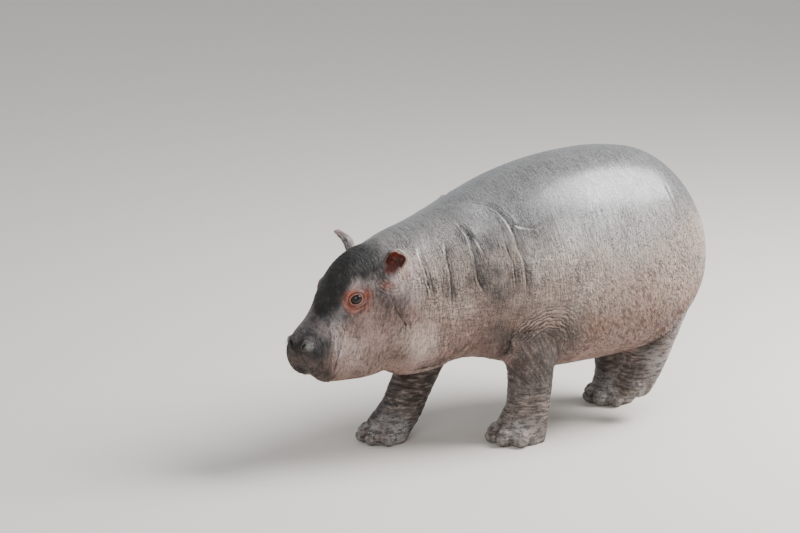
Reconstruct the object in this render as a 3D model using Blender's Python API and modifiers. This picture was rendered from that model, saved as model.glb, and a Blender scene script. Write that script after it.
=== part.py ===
"""A young common hippopotamus (Hippopotamus amphibius) in mid stride, life size.

Metres, +Z up. The nose points along -Y and the animal's left side is +X, so a place in the body
is written as (forward, left, up). The calf stands on three feet; the left hind foot is in the air.

The body is first made as one whole from lofted and rounded forms, which are fused and softened.
It is then parted by thin cuts into trunk, neck, head, lower jaw, ears and legs. The eyes, the
tail and the nails are solids of their own, each seated in a hollow of the flesh that carries it.
"""
import math

import bmesh
import bpy
import numpy as np
from mathutils import Vector

CM = 0.01
SEAT_GAP = 0.0003

# The whole animal, in centimetres
ORIGIN_FORWARD = -0.4
ORIGIN_LEFT = 0.0
BACK_HEIGHT = 65.3
BELLY_HEIGHT = 15.2
TRUNK_HALF_WIDTH = 21.2
RUMP_FORWARD = -56.3

# Stations of the trunk and neck: forward, left, top, bottom, half width, widest level, roundness
# above and below. The level is a share of the depth, and the roundness a superellipse power.
TRUNK = (
    (RUMP_FORWARD, 0.0, 41.5, 35.0, 2.2, 0.50, 2.0, 2.0),
    (-55.4, 0.0, 47.4, 29.8, 8.0, 0.50, 2.0, 2.0),
    (-52.6, 0.0, 53.2, 24.8, 13.0, 0.48, 2.0, 2.1),
    (-48.2, 0.0, 58.5, 20.8, 16.7, 0.46, 2.1, 2.2),
    (-42.0, 0.0, 63.0, 17.6, 19.4, 0.45, 2.1, 2.3),
    (-33.0, 0.0, 65.0, 15.8, 20.9, 0.44, 2.1, 2.3),
    (-22.0, 0.0, BACK_HEIGHT, BELLY_HEIGHT, TRUNK_HALF_WIDTH, 0.43, 2.1, 2.3),
    (-10.0, 0.0, 64.1, 15.4, 20.4, 0.43, 2.1, 2.3),
    (0.0, 0.1, 61.9, 17.8, 18.8, 0.44, 2.1, 2.2),
    (9.0, 0.3, 59.0, 20.2, 17.0, 0.45, 2.1, 2.2),
    (17.0, 0.6, 56.1, 20.4, 15.2, 0.46, 2.1, 2.2),
    (24.0, 0.9, 53.8, 18.8, 13.6, 0.46, 2.1, 2.2),
    (31.0, 1.2, 51.6, 19.4, 12.2, 0.46, 2.1, 2.2),
    (36.5, 1.4, 48.8, 24.0, 10.0, 0.46, 2.1, 2.1),
    (40.5, 1.5, 45.0, 29.0, 5.5, 0.50, 2.0, 2.0),
)

# The head has a frame of its own, midway between the eyes: side, ahead (to the nose), above.
HEAD_FORWARD = 45.5
HEAD_LEFT = 1.5
HEAD_HEIGHT = 40.3
HEAD_YAW = math.radians(5.0)
HEAD_NOD = math.radians(20.0)
HEAD_TILT = math.radians(3.0)

# Stations of the skull and muzzle: ahead, top, bottom, half width, level, roundness up and down
SKULL = (
    (-17.0, 3.0, -17.0, 7.0, 0.50, 2.0, 2.0),
    (-13.0, 5.2, -18.6, 8.4, 0.48, 2.0, 2.1),
    (-8.0, 6.0, -19.2, 9.0, 0.46, 2.0, 2.1),
    (-3.0, 5.2, -18.8, 8.9, 0.45, 2.0, 2.1),
    (1.0, 2.8, -17.6, 8.3, 0.46, 2.1, 2.1),
    (5.0, -0.9, -16.0, 7.3, 0.48, 2.3, 2.1),
    (7.8, -3.0, -14.6, 6.7, 0.50, 2.5, 2.2),
    (10.5, -4.4, -14.2, 6.6, 0.50, 2.6, 2.3),
    (12.5, -6.1, -13.6, 6.0, 0.50, 2.5, 2.3),
    (13.9, -8.0, -12.6, 4.2, 0.50, 2.2, 2.2),
    (14.4, -9.4, -11.2, 1.4, 0.50, 2.0, 2.0),
)

# Stations of the lower jaw, in the head's frame
JAW = (
    (-12.0, -11.0, -20.4, 6.0, 0.50, 2.0, 2.0),
    (-8.0, -10.0, -22.4, 7.6, 0.50, 2.0, 2.2),
    (-3.0, -10.0, -22.4, 7.8, 0.50, 2.0, 2.4),
    (2.0, -10.0, -21.2, 7.2, 0.50, 2.0, 2.5),
    (6.5, -10.5, -19.2, 6.3, 0.50, 2.0, 2.6),
    (10.0, -11.0, -17.6, 5.2, 0.50, 2.0, 2.6),
    (12.0, -12.4, -16.4, 3.6, 0.50, 2.0, 2.0),
    (12.7, -13.8, -15.0, 1.2, 0.50, 2.0, 2.0),
)

# Rounded masses on the head, one of each pair: side, ahead, above, then their three radii
LIP = ((3.8, 9.6, -10.4), (3.6, 4.6, 5.3))
NOSTRIL_MOUND = ((3.3, 11.8, -6.9), (2.2, 2.4, 2.0))
EYE_MOUND = ((4.5, -0.7, 0.2), (2.5, 2.9, 2.9))
CHEEK = ((5.4, -5.0, -11.0), (4.2, 6.0, 6.5))
EYE_PLACE = (6.0, -0.1, 0.1)
EYE_RADIUS = 1.4

# The ear is a cupped leaf: root and tip in the head's frame, the side its mouth faces, its size
EAR_ROOT = (5.9, -11.4, 1.6)
EAR_TIP = (11.2, -11.2, 6.9)
EAR_MOUTH = (0.60, 0.78, -0.10)
EAR_ROOT_HALF_WIDTH = 1.5
EAR_HALF_WIDTH = 2.6
EAR_WIDEST = 0.6
EAR_DEPTH = 2.0
EAR_WALL = 0.55
EAR_HOLLOW_START = 0.25

# Legs: stations of forward, left, up, half width across and half width fore and aft
LEGS = {
    "leg_front_left": (
        (1.0, 10.4, 42.0, 6.8, 9.0), (-0.8, 11.2, 33.0, 6.8, 8.4), (-1.9, 11.0, 25.0, 5.9, 6.7),
        (-2.7, 10.4, 18.0, 5.2, 5.8), (-2.9, 9.7, 12.0, 5.0, 5.4), (-2.7, 9.3, 7.5, 5.0, 5.4),
        (-1.8, 9.1, 4.4, 5.5, 6.0), (-0.9, 9.0, 2.0, 5.8, 6.4), (-0.7, 9.0, -0.8, 5.5, 6.1)),
    "leg_front_right": (
        (3.5, -10.2, 42.0, 6.8, 9.0), (6.0, -11.0, 33.0, 6.8, 8.6), (10.2, -10.8, 24.5, 5.9, 7.0),
        (14.2, -10.2, 17.0, 5.1, 5.7), (17.7, -9.6, 11.0, 4.8, 5.1), (20.5, -9.2, 6.6, 4.8, 5.0),
        (23.2, -9.0, 3.8, 5.1, 5.0), (24.8, -9.0, 1.8, 5.3, 5.2), (25.2, -9.0, -0.8, 5.0, 4.9)),
    "leg_hind_right": (
        (-40.5, -10.0, 42.0, 7.5, 12.0), (-41.2, -10.8, 33.0, 7.4, 11.0), (-42.6, -10.0, 24.0, 6.2, 8.0),
        (-42.6, -8.8, 16.0, 5.1, 6.0), (-42.1, -7.9, 10.5, 4.8, 5.3), (-41.6, -7.3, 6.6, 4.8, 5.2),
        (-40.9, -7.0, 3.9, 5.2, 5.4), (-40.3, -7.0, 1.8, 5.4, 5.6), (-40.1, -7.0, -0.8, 5.1, 5.3)),
    "leg_hind_left": (
        (-41.0, 10.0, 42.0, 7.5, 12.0), (-42.5, 11.0, 33.0, 7.4, 11.0), (-41.6, 10.8, 24.5, 6.3, 8.2),
        (-39.2, 10.0, 17.8, 5.2, 6.0), (-36.8, 9.3, 12.8, 4.6, 4.9), (-35.0, 9.0, 9.6, 4.5, 4.6),
        (-33.9, 8.9, 7.6, 4.4, 4.2), (-33.3, 8.9, 6.4, 3.4, 3.2)),
}

# Feet: sole's middle (forward, left), spread of the toes, and how far the foot hangs nose down
FEET = {
    "leg_front_left": (0.2, 9.0, 0.0, 1.05, 0.0),
    "leg_front_right": (24.8, -9.0, 0.0, 0.96, 0.0),
    "leg_hind_right": (-40.3, -7.0, 0.0, 0.98, 0.0),
    "leg_hind_left": (-35.6, 8.9, 9.6, 0.80, 62.0),
}
TOE_ANGLES = (-66.0, -21.0, 21.0, 66.0)
TOE_REACH = 4.7
TOE_RADII = (1.95, 2.5, 2.3)
TOE_HEIGHT = 1.9
NAIL_REACH = 6.75
NAIL_RADII = (1.15, 0.55, 1.2)
NAIL_HEIGHT = 1.75

# The tail lies in the cleft of the rump: forward, left, up, half width across, half thickness
TAIL = (
    (-49.4, 0.0, 53.4, 2.3, 1.7), (-52.9, 0.0, 51.2, 2.3, 1.7), (-55.5, 0.0, 47.2, 2.0, 1.3),
    (-56.7, 0.1, 42.6, 1.8, 1.0), (-56.9, 0.2, 38.2, 1.6, 0.8), (-56.4, 0.2, 34.8, 1.0, 0.5),
)

COLOURS = {
    "back": (0.245, 0.235, 0.235, 1.0),
    "head": (0.185, 0.175, 0.175, 1.0),
    "pink": (0.420, 0.265, 0.235, 1.0),
    "leg": (0.165, 0.145, 0.140, 1.0),
    "eye": (0.020, 0.012, 0.009, 1.0),
    "nail": (0.330, 0.300, 0.280, 1.0),
}


def clear_scene():
    for thing in list(bpy.context.scene.objects):
        bpy.data.objects.remove(thing)


def new_collection(name):
    group = bpy.data.collections.new(name)
    bpy.context.scene.collection.children.link(group)
    return group


def material(name, colour, roughness):
    made = bpy.data.materials.new(name)
    made.use_nodes = True
    shader = made.node_tree.nodes["Principled BSDF"]
    shader.inputs["Base Color"].default_value = colour
    shader.inputs["Roughness"].default_value = roughness
    shader.inputs["Metallic"].default_value = 0.0
    return made


def body_place(forward, left, up):
    """World place, in metres, of a place in the body given in centimetres."""
    return np.stack([left - ORIGIN_LEFT, ORIGIN_FORWARD - forward, up], axis=-1) * CM


def head_axes():
    """Unit vectors of the head's frame in the world: to its left, to the nose, to the crown."""
    ahead = np.array([math.sin(HEAD_YAW) * math.cos(HEAD_NOD),
                      -math.cos(HEAD_YAW) * math.cos(HEAD_NOD),
                      -math.sin(HEAD_NOD)])
    side = np.array([math.cos(HEAD_YAW), math.sin(HEAD_YAW), 0.0])
    above = np.cross(side, ahead) * -1.0
    tilted_side = side * math.cos(HEAD_TILT) - above * math.sin(HEAD_TILT)
    tilted_above = above * math.cos(HEAD_TILT) + side * math.sin(HEAD_TILT)
    return tilted_side, ahead, tilted_above


def head_place(side, ahead, above):
    """World place, in metres, of a place in the head's frame given in centimetres."""
    side_axis, ahead_axis, above_axis = head_axes()
    origin = body_place(HEAD_FORWARD, HEAD_LEFT, HEAD_HEIGHT)
    offset = (np.multiply.outer(side, side_axis) + np.multiply.outer(ahead, ahead_axis)
              + np.multiply.outer(above, above_axis))
    return origin + offset * CM


def eased(stations, count):
    """Rows between the stations, on a smooth cubic that passes through each of them."""
    rows = np.array(stations, dtype=float)
    steps = np.linalg.norm(np.diff(rows[:, :3], axis=0), axis=1)
    along = np.concatenate([[0.0], np.cumsum(steps)])
    slopes = np.gradient(rows, along, axis=0)
    at = np.linspace(0.0, along[-1], count)
    here = np.clip(np.searchsorted(along, at, side="right") - 1, 0, len(rows) - 2)
    span = (along[here + 1] - along[here])[:, None]
    t = (at - along[here])[:, None] / span
    start_weight = 2 * t**3 - 3 * t**2 + 1
    leave_weight = t**3 - 2 * t**2 + t
    arrive_weight = t**3 - t**2
    return (start_weight * rows[here] + leave_weight * span * slopes[here]
            + (1 - start_weight) * rows[here + 1] + arrive_weight * span * slopes[here + 1])


def superellipse(turn, half_width, rise, drop, power_up, power_down):
    """Sideways and upward offsets of a section that may be squarer above than below."""
    across, upward = np.cos(turn), np.sin(turn)
    power = np.where(upward > 0, power_up, power_down)
    reach = np.where(upward > 0, rise, drop)
    wide = half_width * np.sign(across) * np.abs(across) ** (2.0 / power)
    high = reach * np.sign(upward) * np.abs(upward) ** (2.0 / power)
    return wide, high


def closed_mesh(name, rings):
    """A closed mesh over rings of places, with a fan of triangles at each end."""
    count, around = rings.shape[:2]
    points = np.concatenate([rings.reshape(-1, 3), [rings[0].mean(0)], [rings[-1].mean(0)]])
    row = np.arange(count - 1)[:, None] * around
    here = np.arange(around)[None, :]
    after = (here + 1) % around
    near = np.stack([row + here, row + after, row + around + after], -1)
    far = np.stack([row + here, row + around + after, row + around + here], -1)
    walls = np.concatenate([near.reshape(-1, 3), far.reshape(-1, 3)])
    last = (count - 1) * around
    first_cap = [(count * around, (i + 1) % around, i) for i in range(around)]
    last_cap = [(count * around + 1, last + i, last + (i + 1) % around) for i in range(around)]
    mesh = bpy.data.meshes.new(name)
    mesh.from_pydata(points.tolist(), [], walls.tolist() + first_cap + last_cap)
    editing = bmesh.new()
    editing.from_mesh(mesh)
    bmesh.ops.recalc_face_normals(editing, faces=editing.faces)
    editing.to_mesh(mesh)
    editing.free()
    return mesh


def level_form(name, stations, place, count, around=48):
    """Loft of upright sections. A row is ahead, (left,) top, bottom, half width and roundness."""
    rows = eased(stations, count)
    if rows.shape[1] == 7:
        rows = np.insert(rows, 1, 0.0, axis=1)
    ahead, left, top, bottom, half_width, share, power_up, power_down = (
        rows[:, i:i + 1] for i in range(8))
    level = bottom + (top - bottom) * share
    turn = np.linspace(0.0, 2 * math.pi, around, endpoint=False)[None, :]
    wide, high = superellipse(turn, half_width, top - level, level - bottom, power_up, power_down)
    return closed_mesh(name, place(ahead + 0 * wide, left + wide, level + high))


def body_sections(ahead, left, up):
    return body_place(ahead, left, up)


def head_sections(ahead, side, above):
    origin_shape = ahead.shape
    return head_place(side.ravel(), ahead.ravel(), above.ravel()).reshape(*origin_shape, 3)


def limb_form(name, stations, spare=0.0, count=40, around=28):
    """Loft of round sections square to a path. A row is forward, left, up and two half widths."""
    rows = eased(stations, count)
    path = body_place(rows[:, 0], rows[:, 1], rows[:, 2])
    along = np.gradient(path, axis=0)
    along /= np.linalg.norm(along, axis=1)[:, None]
    across = np.array([1.0, 0.0, 0.0]) - along[:, :1] * along
    across /= np.linalg.norm(across, axis=1)[:, None]
    fore = np.cross(along, across)
    turn = np.linspace(0.0, 2 * math.pi, around, endpoint=False)
    half_across = rows[:, 3, None] * CM + spare
    half_fore = rows[:, 4, None] * CM + spare
    path[0] -= along[0] * spare
    path[-1] += along[-1] * spare
    rings = (path[:, None] + (half_across * np.cos(turn))[..., None] * across[:, None]
             + (half_fore * np.sin(turn))[..., None] * fore[:, None])
    return closed_mesh(name, rings)


def ball(name, centre, radii, axes, segments=24, rings=16):
    """An ellipsoid with its three radii along the given axes, all in metres."""
    editing = bmesh.new()
    bmesh.ops.create_uvsphere(editing, u_segments=segments, v_segments=rings, radius=1.0)
    mesh = bpy.data.meshes.new(name)
    editing.to_mesh(mesh)
    editing.free()
    unit = np.array([tuple(v.co) for v in mesh.vertices])
    places = unit * np.array(radii) @ np.array(axes) + np.array(centre)
    mesh.vertices.foreach_set("co", places.ravel())
    mesh.update()
    return mesh


def head_ball(name, centre, radii, mirrored, spare=0.0, segments=24, rings=16):
    side = -1.0 if mirrored else 1.0
    side_axis, ahead_axis, above_axis = head_axes()
    return ball(name, head_place(side * centre[0], centre[1], centre[2]),
                [r * CM + spare for r in radii], (side_axis, -ahead_axis, above_axis),
                segments, rings)


def ear_form(name, mirrored, spare=0.0, count=10, around=14):
    """A leaf rolled to a cup: crescent sections from a stout root to a rounded tip."""
    side = -1.0 if mirrored else 1.0
    root = head_place(side * EAR_ROOT[0], EAR_ROOT[1], EAR_ROOT[2])
    tip = head_place(side * EAR_TIP[0], EAR_TIP[1], EAR_TIP[2])
    along = (tip - root) / np.linalg.norm(tip - root)
    side_axis, ahead_axis, above_axis = head_axes()
    mouth = side * EAR_MOUTH[0] * side_axis + EAR_MOUTH[1] * ahead_axis + EAR_MOUTH[2] * above_axis
    mouth -= along * (mouth @ along)
    mouth /= np.linalg.norm(mouth)
    across = np.cross(along, mouth)
    t = np.sin(np.linspace(0.0, math.pi / 2, count))[:, None]
    rise = np.clip(t / EAR_WIDEST, 0.0, 1.0)
    fall = np.clip((t - EAR_WIDEST) / (1.0 - EAR_WIDEST), 0.0, 1.0)
    half_width = (EAR_ROOT_HALF_WIDTH + (EAR_HALF_WIDTH - EAR_ROOT_HALF_WIDTH)
                  * np.sin(rise * math.pi / 2)) * np.sqrt(np.clip(1.0 - fall**2, 0.02, 1.0))
    depth = np.minimum(EAR_DEPTH, 0.85 * half_width)
    hollow = np.clip((t - EAR_HOLLOW_START) / 0.25, 0.0, 1.0)
    turn = np.linspace(0.0, 2 * math.pi, around, endpoint=False)[None, :]
    back = -depth * np.abs(np.sin(turn))
    full = 0.8 * depth * np.abs(np.sin(turn))
    dug = -np.maximum(depth - EAR_WALL, 0.0) * np.abs(np.sin(turn)) + 0.35 * EAR_WALL
    front = full * (1.0 - hollow) + dug * hollow
    wide = half_width * np.cos(turn)
    out = np.where(np.sin(turn) > 0, front, back)
    path = root + t * (tip - root)
    rings = path[:, None] + (wide[..., None] * across + out[..., None] * mouth) * CM
    mesh = closed_mesh(name, rings)
    return swollen(mesh, spare)


def swollen(mesh, spare):
    """The mesh with each vertex moved outward along its normal."""
    for vertex, normal in zip(mesh.vertices, [tuple(n.vector) for n in mesh.vertex_normals]):
        vertex.co = vertex.co + Vector(normal) * spare
    return mesh


def joined(name, meshes):
    """One mesh that holds all the given ones, which may still overlap."""
    editing = bmesh.new()
    for mesh in meshes:
        editing.from_mesh(mesh)
    whole = bpy.data.meshes.new(name)
    editing.to_mesh(whole)
    editing.free()
    return whole


def shaped(mesh, name, steps):
    """The mesh after a list of modifiers, each given as its type and its settings."""
    holder = bpy.data.objects.new(name, mesh)
    scratch.objects.link(holder)
    for kind, settings in steps:
        modifier = holder.modifiers.new(kind.lower(), kind)
        for key, value in settings.items():
            setattr(modifier, key, value)
    bpy.context.view_layer.update()
    graph = bpy.context.evaluated_depsgraph_get()
    result = bpy.data.meshes.new_from_object(holder.evaluated_get(graph))
    bpy.data.objects.remove(holder)
    return result


def cut(mesh, operation, cutter_mesh):
    """The mesh kept inside a cutter (INTERSECT) or outside it (DIFFERENCE)."""
    cutter = bpy.data.objects.new("cutter", cutter_mesh)
    scratch.objects.link(cutter)
    result = shaped(mesh, "cut", [("BOOLEAN", {"operation": operation, "object": cutter})])
    bpy.data.objects.remove(cutter)
    return result


def toe_frames(leg):
    """For each toe of a foot: its root, then unit vectors outward, sideways and up."""
    forward, left, up, spread, droop = FEET[leg]
    droop = math.radians(droop)
    root = body_place(forward, left, up)
    ahead = np.array([0.0, -math.cos(droop), -math.sin(droop)])
    above = np.array([0.0, -math.sin(droop), math.cos(droop)])
    side = np.array([1.0, 0.0, 0.0])
    frames = []
    for angle in TOE_ANGLES:
        turn = math.radians(angle * min(spread, 1.0))
        outward = math.cos(turn) * ahead + math.sin(turn) * side
        frames.append((root, outward, np.cross(above, outward), above, spread))
    return frames


def toe_meshes(leg):
    meshes = []
    for root, outward, sideways, above, spread in toe_frames(leg):
        centre = root + (TOE_REACH * spread * outward + TOE_HEIGHT * above) * CM
        radii = (TOE_RADII[1] * CM, TOE_RADII[0] * CM, TOE_RADII[2] * CM)
        meshes.append(ball("toe", centre, radii, (outward, sideways, above), 16, 10))
    return meshes


def nail_mesh(frame, spare=0.0):
    root, outward, sideways, above, spread = frame
    reach = NAIL_REACH - TOE_REACH * (1.0 - spread)
    centre = root + (reach * outward + NAIL_HEIGHT * above) * CM
    radii = [r * CM + spare for r in (NAIL_RADII[1], NAIL_RADII[0], NAIL_RADII[2])]
    return ball("nail", centre, radii, (outward, sideways, above), 7, 4)


def box_mesh(name, low, high, turn=None, at=(0.0, 0.0, 0.0)):
    """A box between two corners, then turned by a 3 by 3 matrix and moved, in metres."""
    editing = bmesh.new()
    bmesh.ops.create_cube(editing, size=1.0)
    mesh = bpy.data.meshes.new(name)
    editing.to_mesh(mesh)
    editing.free()
    unit = np.array([tuple(v.co) for v in mesh.vertices]) + 0.5
    places = np.array(low) + unit * (np.array(high) - np.array(low))
    if turn is not None:
        places = places @ np.array(turn)
    mesh.vertices.foreach_set("co", (places + np.array(at)).ravel())
    mesh.update()
    return mesh


# --- the whole body ------------------------------------------------------------------------

FUSE_VOXEL = 0.009
DETAIL_VOXEL = 0.0055
FUSE_SOFTENING = 9
DETAIL_SOFTENING = 3
FLESH_TRIANGLES = 3540


def pair(make, *shape):
    return [make(*shape, mirrored) for mirrored in (False, True)]


def fused_body():
    """Trunk, skull, jaw and legs run together into one soft form."""
    forms = [
        level_form("trunk", TRUNK, body_sections, 100),
        level_form("skull", SKULL, head_sections, 60),
        level_form("jaw", JAW, head_sections, 50),
    ]
    forms += [limb_form(leg, stations) for leg, stations in LEGS.items()]
    forms += pair(head_ball, "cheek", *CHEEK)
    steps = [
        ("REMESH", {"mode": "VOXEL", "voxel_size": FUSE_VOXEL}),
        ("SMOOTH", {"factor": 0.5, "iterations": FUSE_SOFTENING}),
    ]
    return shaped(joined("fused", forms), "fused", steps)


def whole_flesh():
    """The fused body with lips, nostrils, brows and toes, thinned to few triangles."""
    forms = [fused_body()]
    for mass_name, mass in (("lip", LIP), ("nostril", NOSTRIL_MOUND), ("brow", EYE_MOUND)):
        forms += pair(head_ball, mass_name, *mass)
    for leg in FEET:
        forms += toe_meshes(leg)
    steps = [
        ("REMESH", {"mode": "VOXEL", "voxel_size": DETAIL_VOXEL}),
        ("SMOOTH", {"factor": 0.5, "iterations": DETAIL_SOFTENING}),
    ]
    flesh = shaped(joined("flesh", forms), "flesh", steps)
    share = FLESH_TRIANGLES / sum(len(face.vertices) - 2 for face in flesh.polygons)
    flesh = shaped(flesh, "flesh", [("DECIMATE", {"ratio": share})])
    floor = box_mesh("floor", (-1.0, -1.0, -0.2), (1.0, 1.0, 0.0))
    return cut(flesh, "DIFFERENCE", floor)


# --- the cuts ------------------------------------------------------------------------------

NECK_TOP = (15.0, 58.0)
NECK_FOOT = (9.5, 18.0)
HEAD_CUT_AHEAD = -15.0
JAW_HINGE = (-9.5, -10.5)
JAW_FRONT = (15.0, -14.6)
LEG_CUT_HEIGHT = 31.0
LEG_SPARE = 1.3


def front_of_neck(spare=0.0):
    """Everything ahead of the plane where the neck leaves the shoulders."""
    lean = math.atan2(NECK_TOP[0] - NECK_FOOT[0], NECK_TOP[1] - NECK_FOOT[1])
    turn = ((1.0, 0.0, 0.0),
            (0.0, math.cos(lean), math.sin(lean)),
            (0.0, -math.sin(lean), math.cos(lean)))
    foot = body_place(NECK_FOOT[0], 0.0, NECK_FOOT[1])
    return box_mesh("front_of_neck", (-0.4, -0.8, -0.2), (0.4, spare, 0.6), turn, foot)


def front_of_head(spare=0.0):
    """Everything ahead of the plane where the head joins the neck."""
    side_axis, ahead_axis, above_axis = head_axes()
    turn = (side_axis, -ahead_axis, above_axis)
    at = head_place(0.0, HEAD_CUT_AHEAD, 0.0)
    return box_mesh("front_of_head", (-0.3, -0.5, -0.35), (0.3, spare, 0.25), turn, at)


def below_mouth(spare=0.0):
    """Everything below the line of the mouth, from the jaw's hinge to the chin."""
    side_axis, ahead_axis, above_axis = head_axes()
    rise = math.atan2(JAW_FRONT[1] - JAW_HINGE[1], JAW_FRONT[0] - JAW_HINGE[0])
    line = math.cos(rise) * ahead_axis + math.sin(rise) * above_axis
    lift = math.cos(rise) * above_axis - math.sin(rise) * ahead_axis
    at = head_place(0.0, *JAW_HINGE)
    length = math.hypot(JAW_FRONT[0] - JAW_HINGE[0], JAW_FRONT[1] - JAW_HINGE[1]) * CM
    return box_mesh("below_mouth", (-0.15, -length - 0.05, -0.14), (0.15, spare, spare),
                    (side_axis, -line, lift), at)


def round_leg(leg, spare=0.0):
    """A loose sleeve about a leg, closed above inside the shoulder or the haunch."""
    rows = []
    for forward, left, up, across, fore in LEGS[leg]:
        if up <= LEG_CUT_HEIGHT + 4.0:
            toes = 2.6 if up < 8.0 else 0.0
            rows.append((forward, left, up, across + LEG_SPARE + toes, fore + LEG_SPARE + toes))
    first, last = rows[0], rows[-1]
    rows.insert(0, (first[0], first[1], first[2] + 2.5, first[3] * 0.6, first[4] * 0.6))
    droop = math.radians(FEET[leg][4])
    rows.append((last[0] + 6.0 * math.sin(droop), last[1], last[2] - 5.0, last[3], last[4]))
    return limb_form("round_" + leg, rows, spare, 7, 12)


def parted(mesh, region, *shape):
    """The piece of a mesh inside a region, and the rest of it, a seat's gap apart."""
    piece = cut(mesh, "INTERSECT", region(*shape, 0.0))
    rest = cut(mesh, "DIFFERENCE", region(*shape, SEAT_GAP))
    return piece, rest


def triangulated(mesh):
    editing = bmesh.new()
    editing.from_mesh(mesh)
    bmesh.ops.remove_doubles(editing, verts=editing.verts, dist=0.00002)
    bmesh.ops.triangulate(editing, faces=editing.faces)
    editing.to_mesh(mesh)
    editing.free()
    return mesh


def node(name, mesh, finish):
    mesh.name = name
    mesh.materials.clear()
    mesh.materials.append(finish)
    thing = bpy.data.objects.new(name, triangulated(mesh))
    calf.objects.link(thing)
    thing.data.shade_smooth()
    return thing


clear_scene()
calf = new_collection("hippopotamus_calf")
scratch = new_collection("cutters")

skin_back = material("skin_back", COLOURS["back"], 0.42)
skin_head = material("skin_head", COLOURS["head"], 0.45)
skin_pink = material("skin_pink", COLOURS["pink"], 0.50)
skin_leg = material("skin_leg", COLOURS["leg"], 0.55)
eye_wet = material("eye_wet", COLOURS["eye"], 0.06)
nail_horn = material("nail_horn", COLOURS["nail"], 0.45)

flesh = whole_flesh()

for leg in LEGS:
    limb, flesh = parted(flesh, round_leg, leg)
    for number, frame in enumerate(toe_frames(leg), start=1):
        nail = nail_mesh(frame)
        limb = cut(limb, "DIFFERENCE", nail_mesh(frame, SEAT_GAP))
        node(f"{leg.replace('leg', 'nail')}_{number}", nail, nail_horn)
    node(leg, limb, skin_leg)

tail = limb_form("tail", TAIL, 0.0, 9, 10)
flesh = cut(flesh, "DIFFERENCE", limb_form("tail_seat", TAIL, SEAT_GAP, 9, 10))
node("tail", tail, skin_back)

front, trunk = parted(flesh, front_of_neck)
node("trunk", trunk, skin_back)

head, neck = parted(front, front_of_head)
node("neck", neck, skin_back)

for side, mirrored in (("left", False), ("right", True)):
    head = cut(head, "DIFFERENCE", ear_form("ear_seat", mirrored, SEAT_GAP))
    node(f"ear_{side}", ear_form("ear", mirrored), skin_pink)
    eye = head_ball("eye", EYE_PLACE, (EYE_RADIUS,) * 3, mirrored, 0.0, 12, 8)
    eye_seat = head_ball("eye_seat", EYE_PLACE, (EYE_RADIUS,) * 3, mirrored, SEAT_GAP, 12, 8)
    head = cut(head, "DIFFERENCE", eye_seat)
    node(f"eye_{side}", eye, eye_wet)

jaw, head = parted(head, below_mouth)
node("lower_jaw", jaw, skin_pink)
node("head", head, skin_head)

bpy.context.scene.collection.children.unlink(scratch)
bpy.data.collections.remove(scratch)
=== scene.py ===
import math

import bmesh
import bpy
import numpy as np
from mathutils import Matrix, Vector


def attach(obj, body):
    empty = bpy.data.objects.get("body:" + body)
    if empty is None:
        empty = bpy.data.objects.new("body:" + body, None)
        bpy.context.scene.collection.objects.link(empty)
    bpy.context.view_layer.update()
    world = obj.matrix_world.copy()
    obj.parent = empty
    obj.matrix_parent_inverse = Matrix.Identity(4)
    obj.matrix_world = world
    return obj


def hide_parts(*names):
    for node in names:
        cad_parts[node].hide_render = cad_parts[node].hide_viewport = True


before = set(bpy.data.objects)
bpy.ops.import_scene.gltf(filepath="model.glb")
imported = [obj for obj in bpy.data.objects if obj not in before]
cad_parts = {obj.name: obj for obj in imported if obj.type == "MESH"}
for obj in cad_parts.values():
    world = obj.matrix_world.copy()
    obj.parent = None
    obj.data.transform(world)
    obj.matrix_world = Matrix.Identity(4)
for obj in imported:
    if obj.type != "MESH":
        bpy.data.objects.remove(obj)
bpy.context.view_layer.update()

# --- Flesh -----------------------------------------------------------------------------------
# The body under the hide of a hippopotamus calf: trunk, skull, jaw, legs and tail as lofts and
# rounded masses, run together by a voxel remesh. Places are in centimetres, either in the body
# (forward, left, up) or in the head (side, ahead, above, from midway between the eyes).

CM = 0.01
ORIGIN_FORWARD = -0.4

TRUNK = (
    (-56.3, 0.0, 41.5, 35.0, 2.2, 0.50, 2.0, 2.0),
    (-55.4, 0.0, 47.4, 29.8, 8.0, 0.50, 2.0, 2.0),
    (-52.6, 0.0, 53.2, 24.8, 13.0, 0.48, 2.0, 2.1),
    (-48.2, 0.0, 58.5, 20.8, 16.7, 0.46, 2.1, 2.2),
    (-42.0, 0.0, 63.0, 17.6, 19.4, 0.45, 2.1, 2.3),
    (-33.0, 0.0, 65.0, 15.8, 20.9, 0.44, 2.1, 2.3),
    (-22.0, 0.0, 65.3, 15.2, 21.2, 0.43, 2.1, 2.3),
    (-10.0, 0.0, 64.1, 15.4, 20.4, 0.43, 2.1, 2.3),
    (0.0, 0.1, 61.9, 17.8, 18.8, 0.44, 2.1, 2.2),
    (9.0, 0.3, 59.0, 20.2, 17.0, 0.45, 2.1, 2.2),
    (17.0, 0.6, 56.1, 20.4, 15.2, 0.46, 2.1, 2.2),
    (24.0, 0.9, 54.1, 18.8, 13.6, 0.46, 2.1, 2.2),
    (31.0, 1.2, 52.4, 19.4, 12.2, 0.46, 2.1, 2.2),
    (36.5, 1.4, 50.0, 24.0, 10.0, 0.46, 2.1, 2.1),
    (40.5, 1.5, 46.2, 29.0, 5.5, 0.50, 2.0, 2.0),
)
HEAD_MIDDLE = (45.5, 1.5, 40.3)
HEAD_YAW = math.radians(5.0)
HEAD_NOD = math.radians(20.0)
HEAD_TILT = math.radians(3.0)
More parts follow.
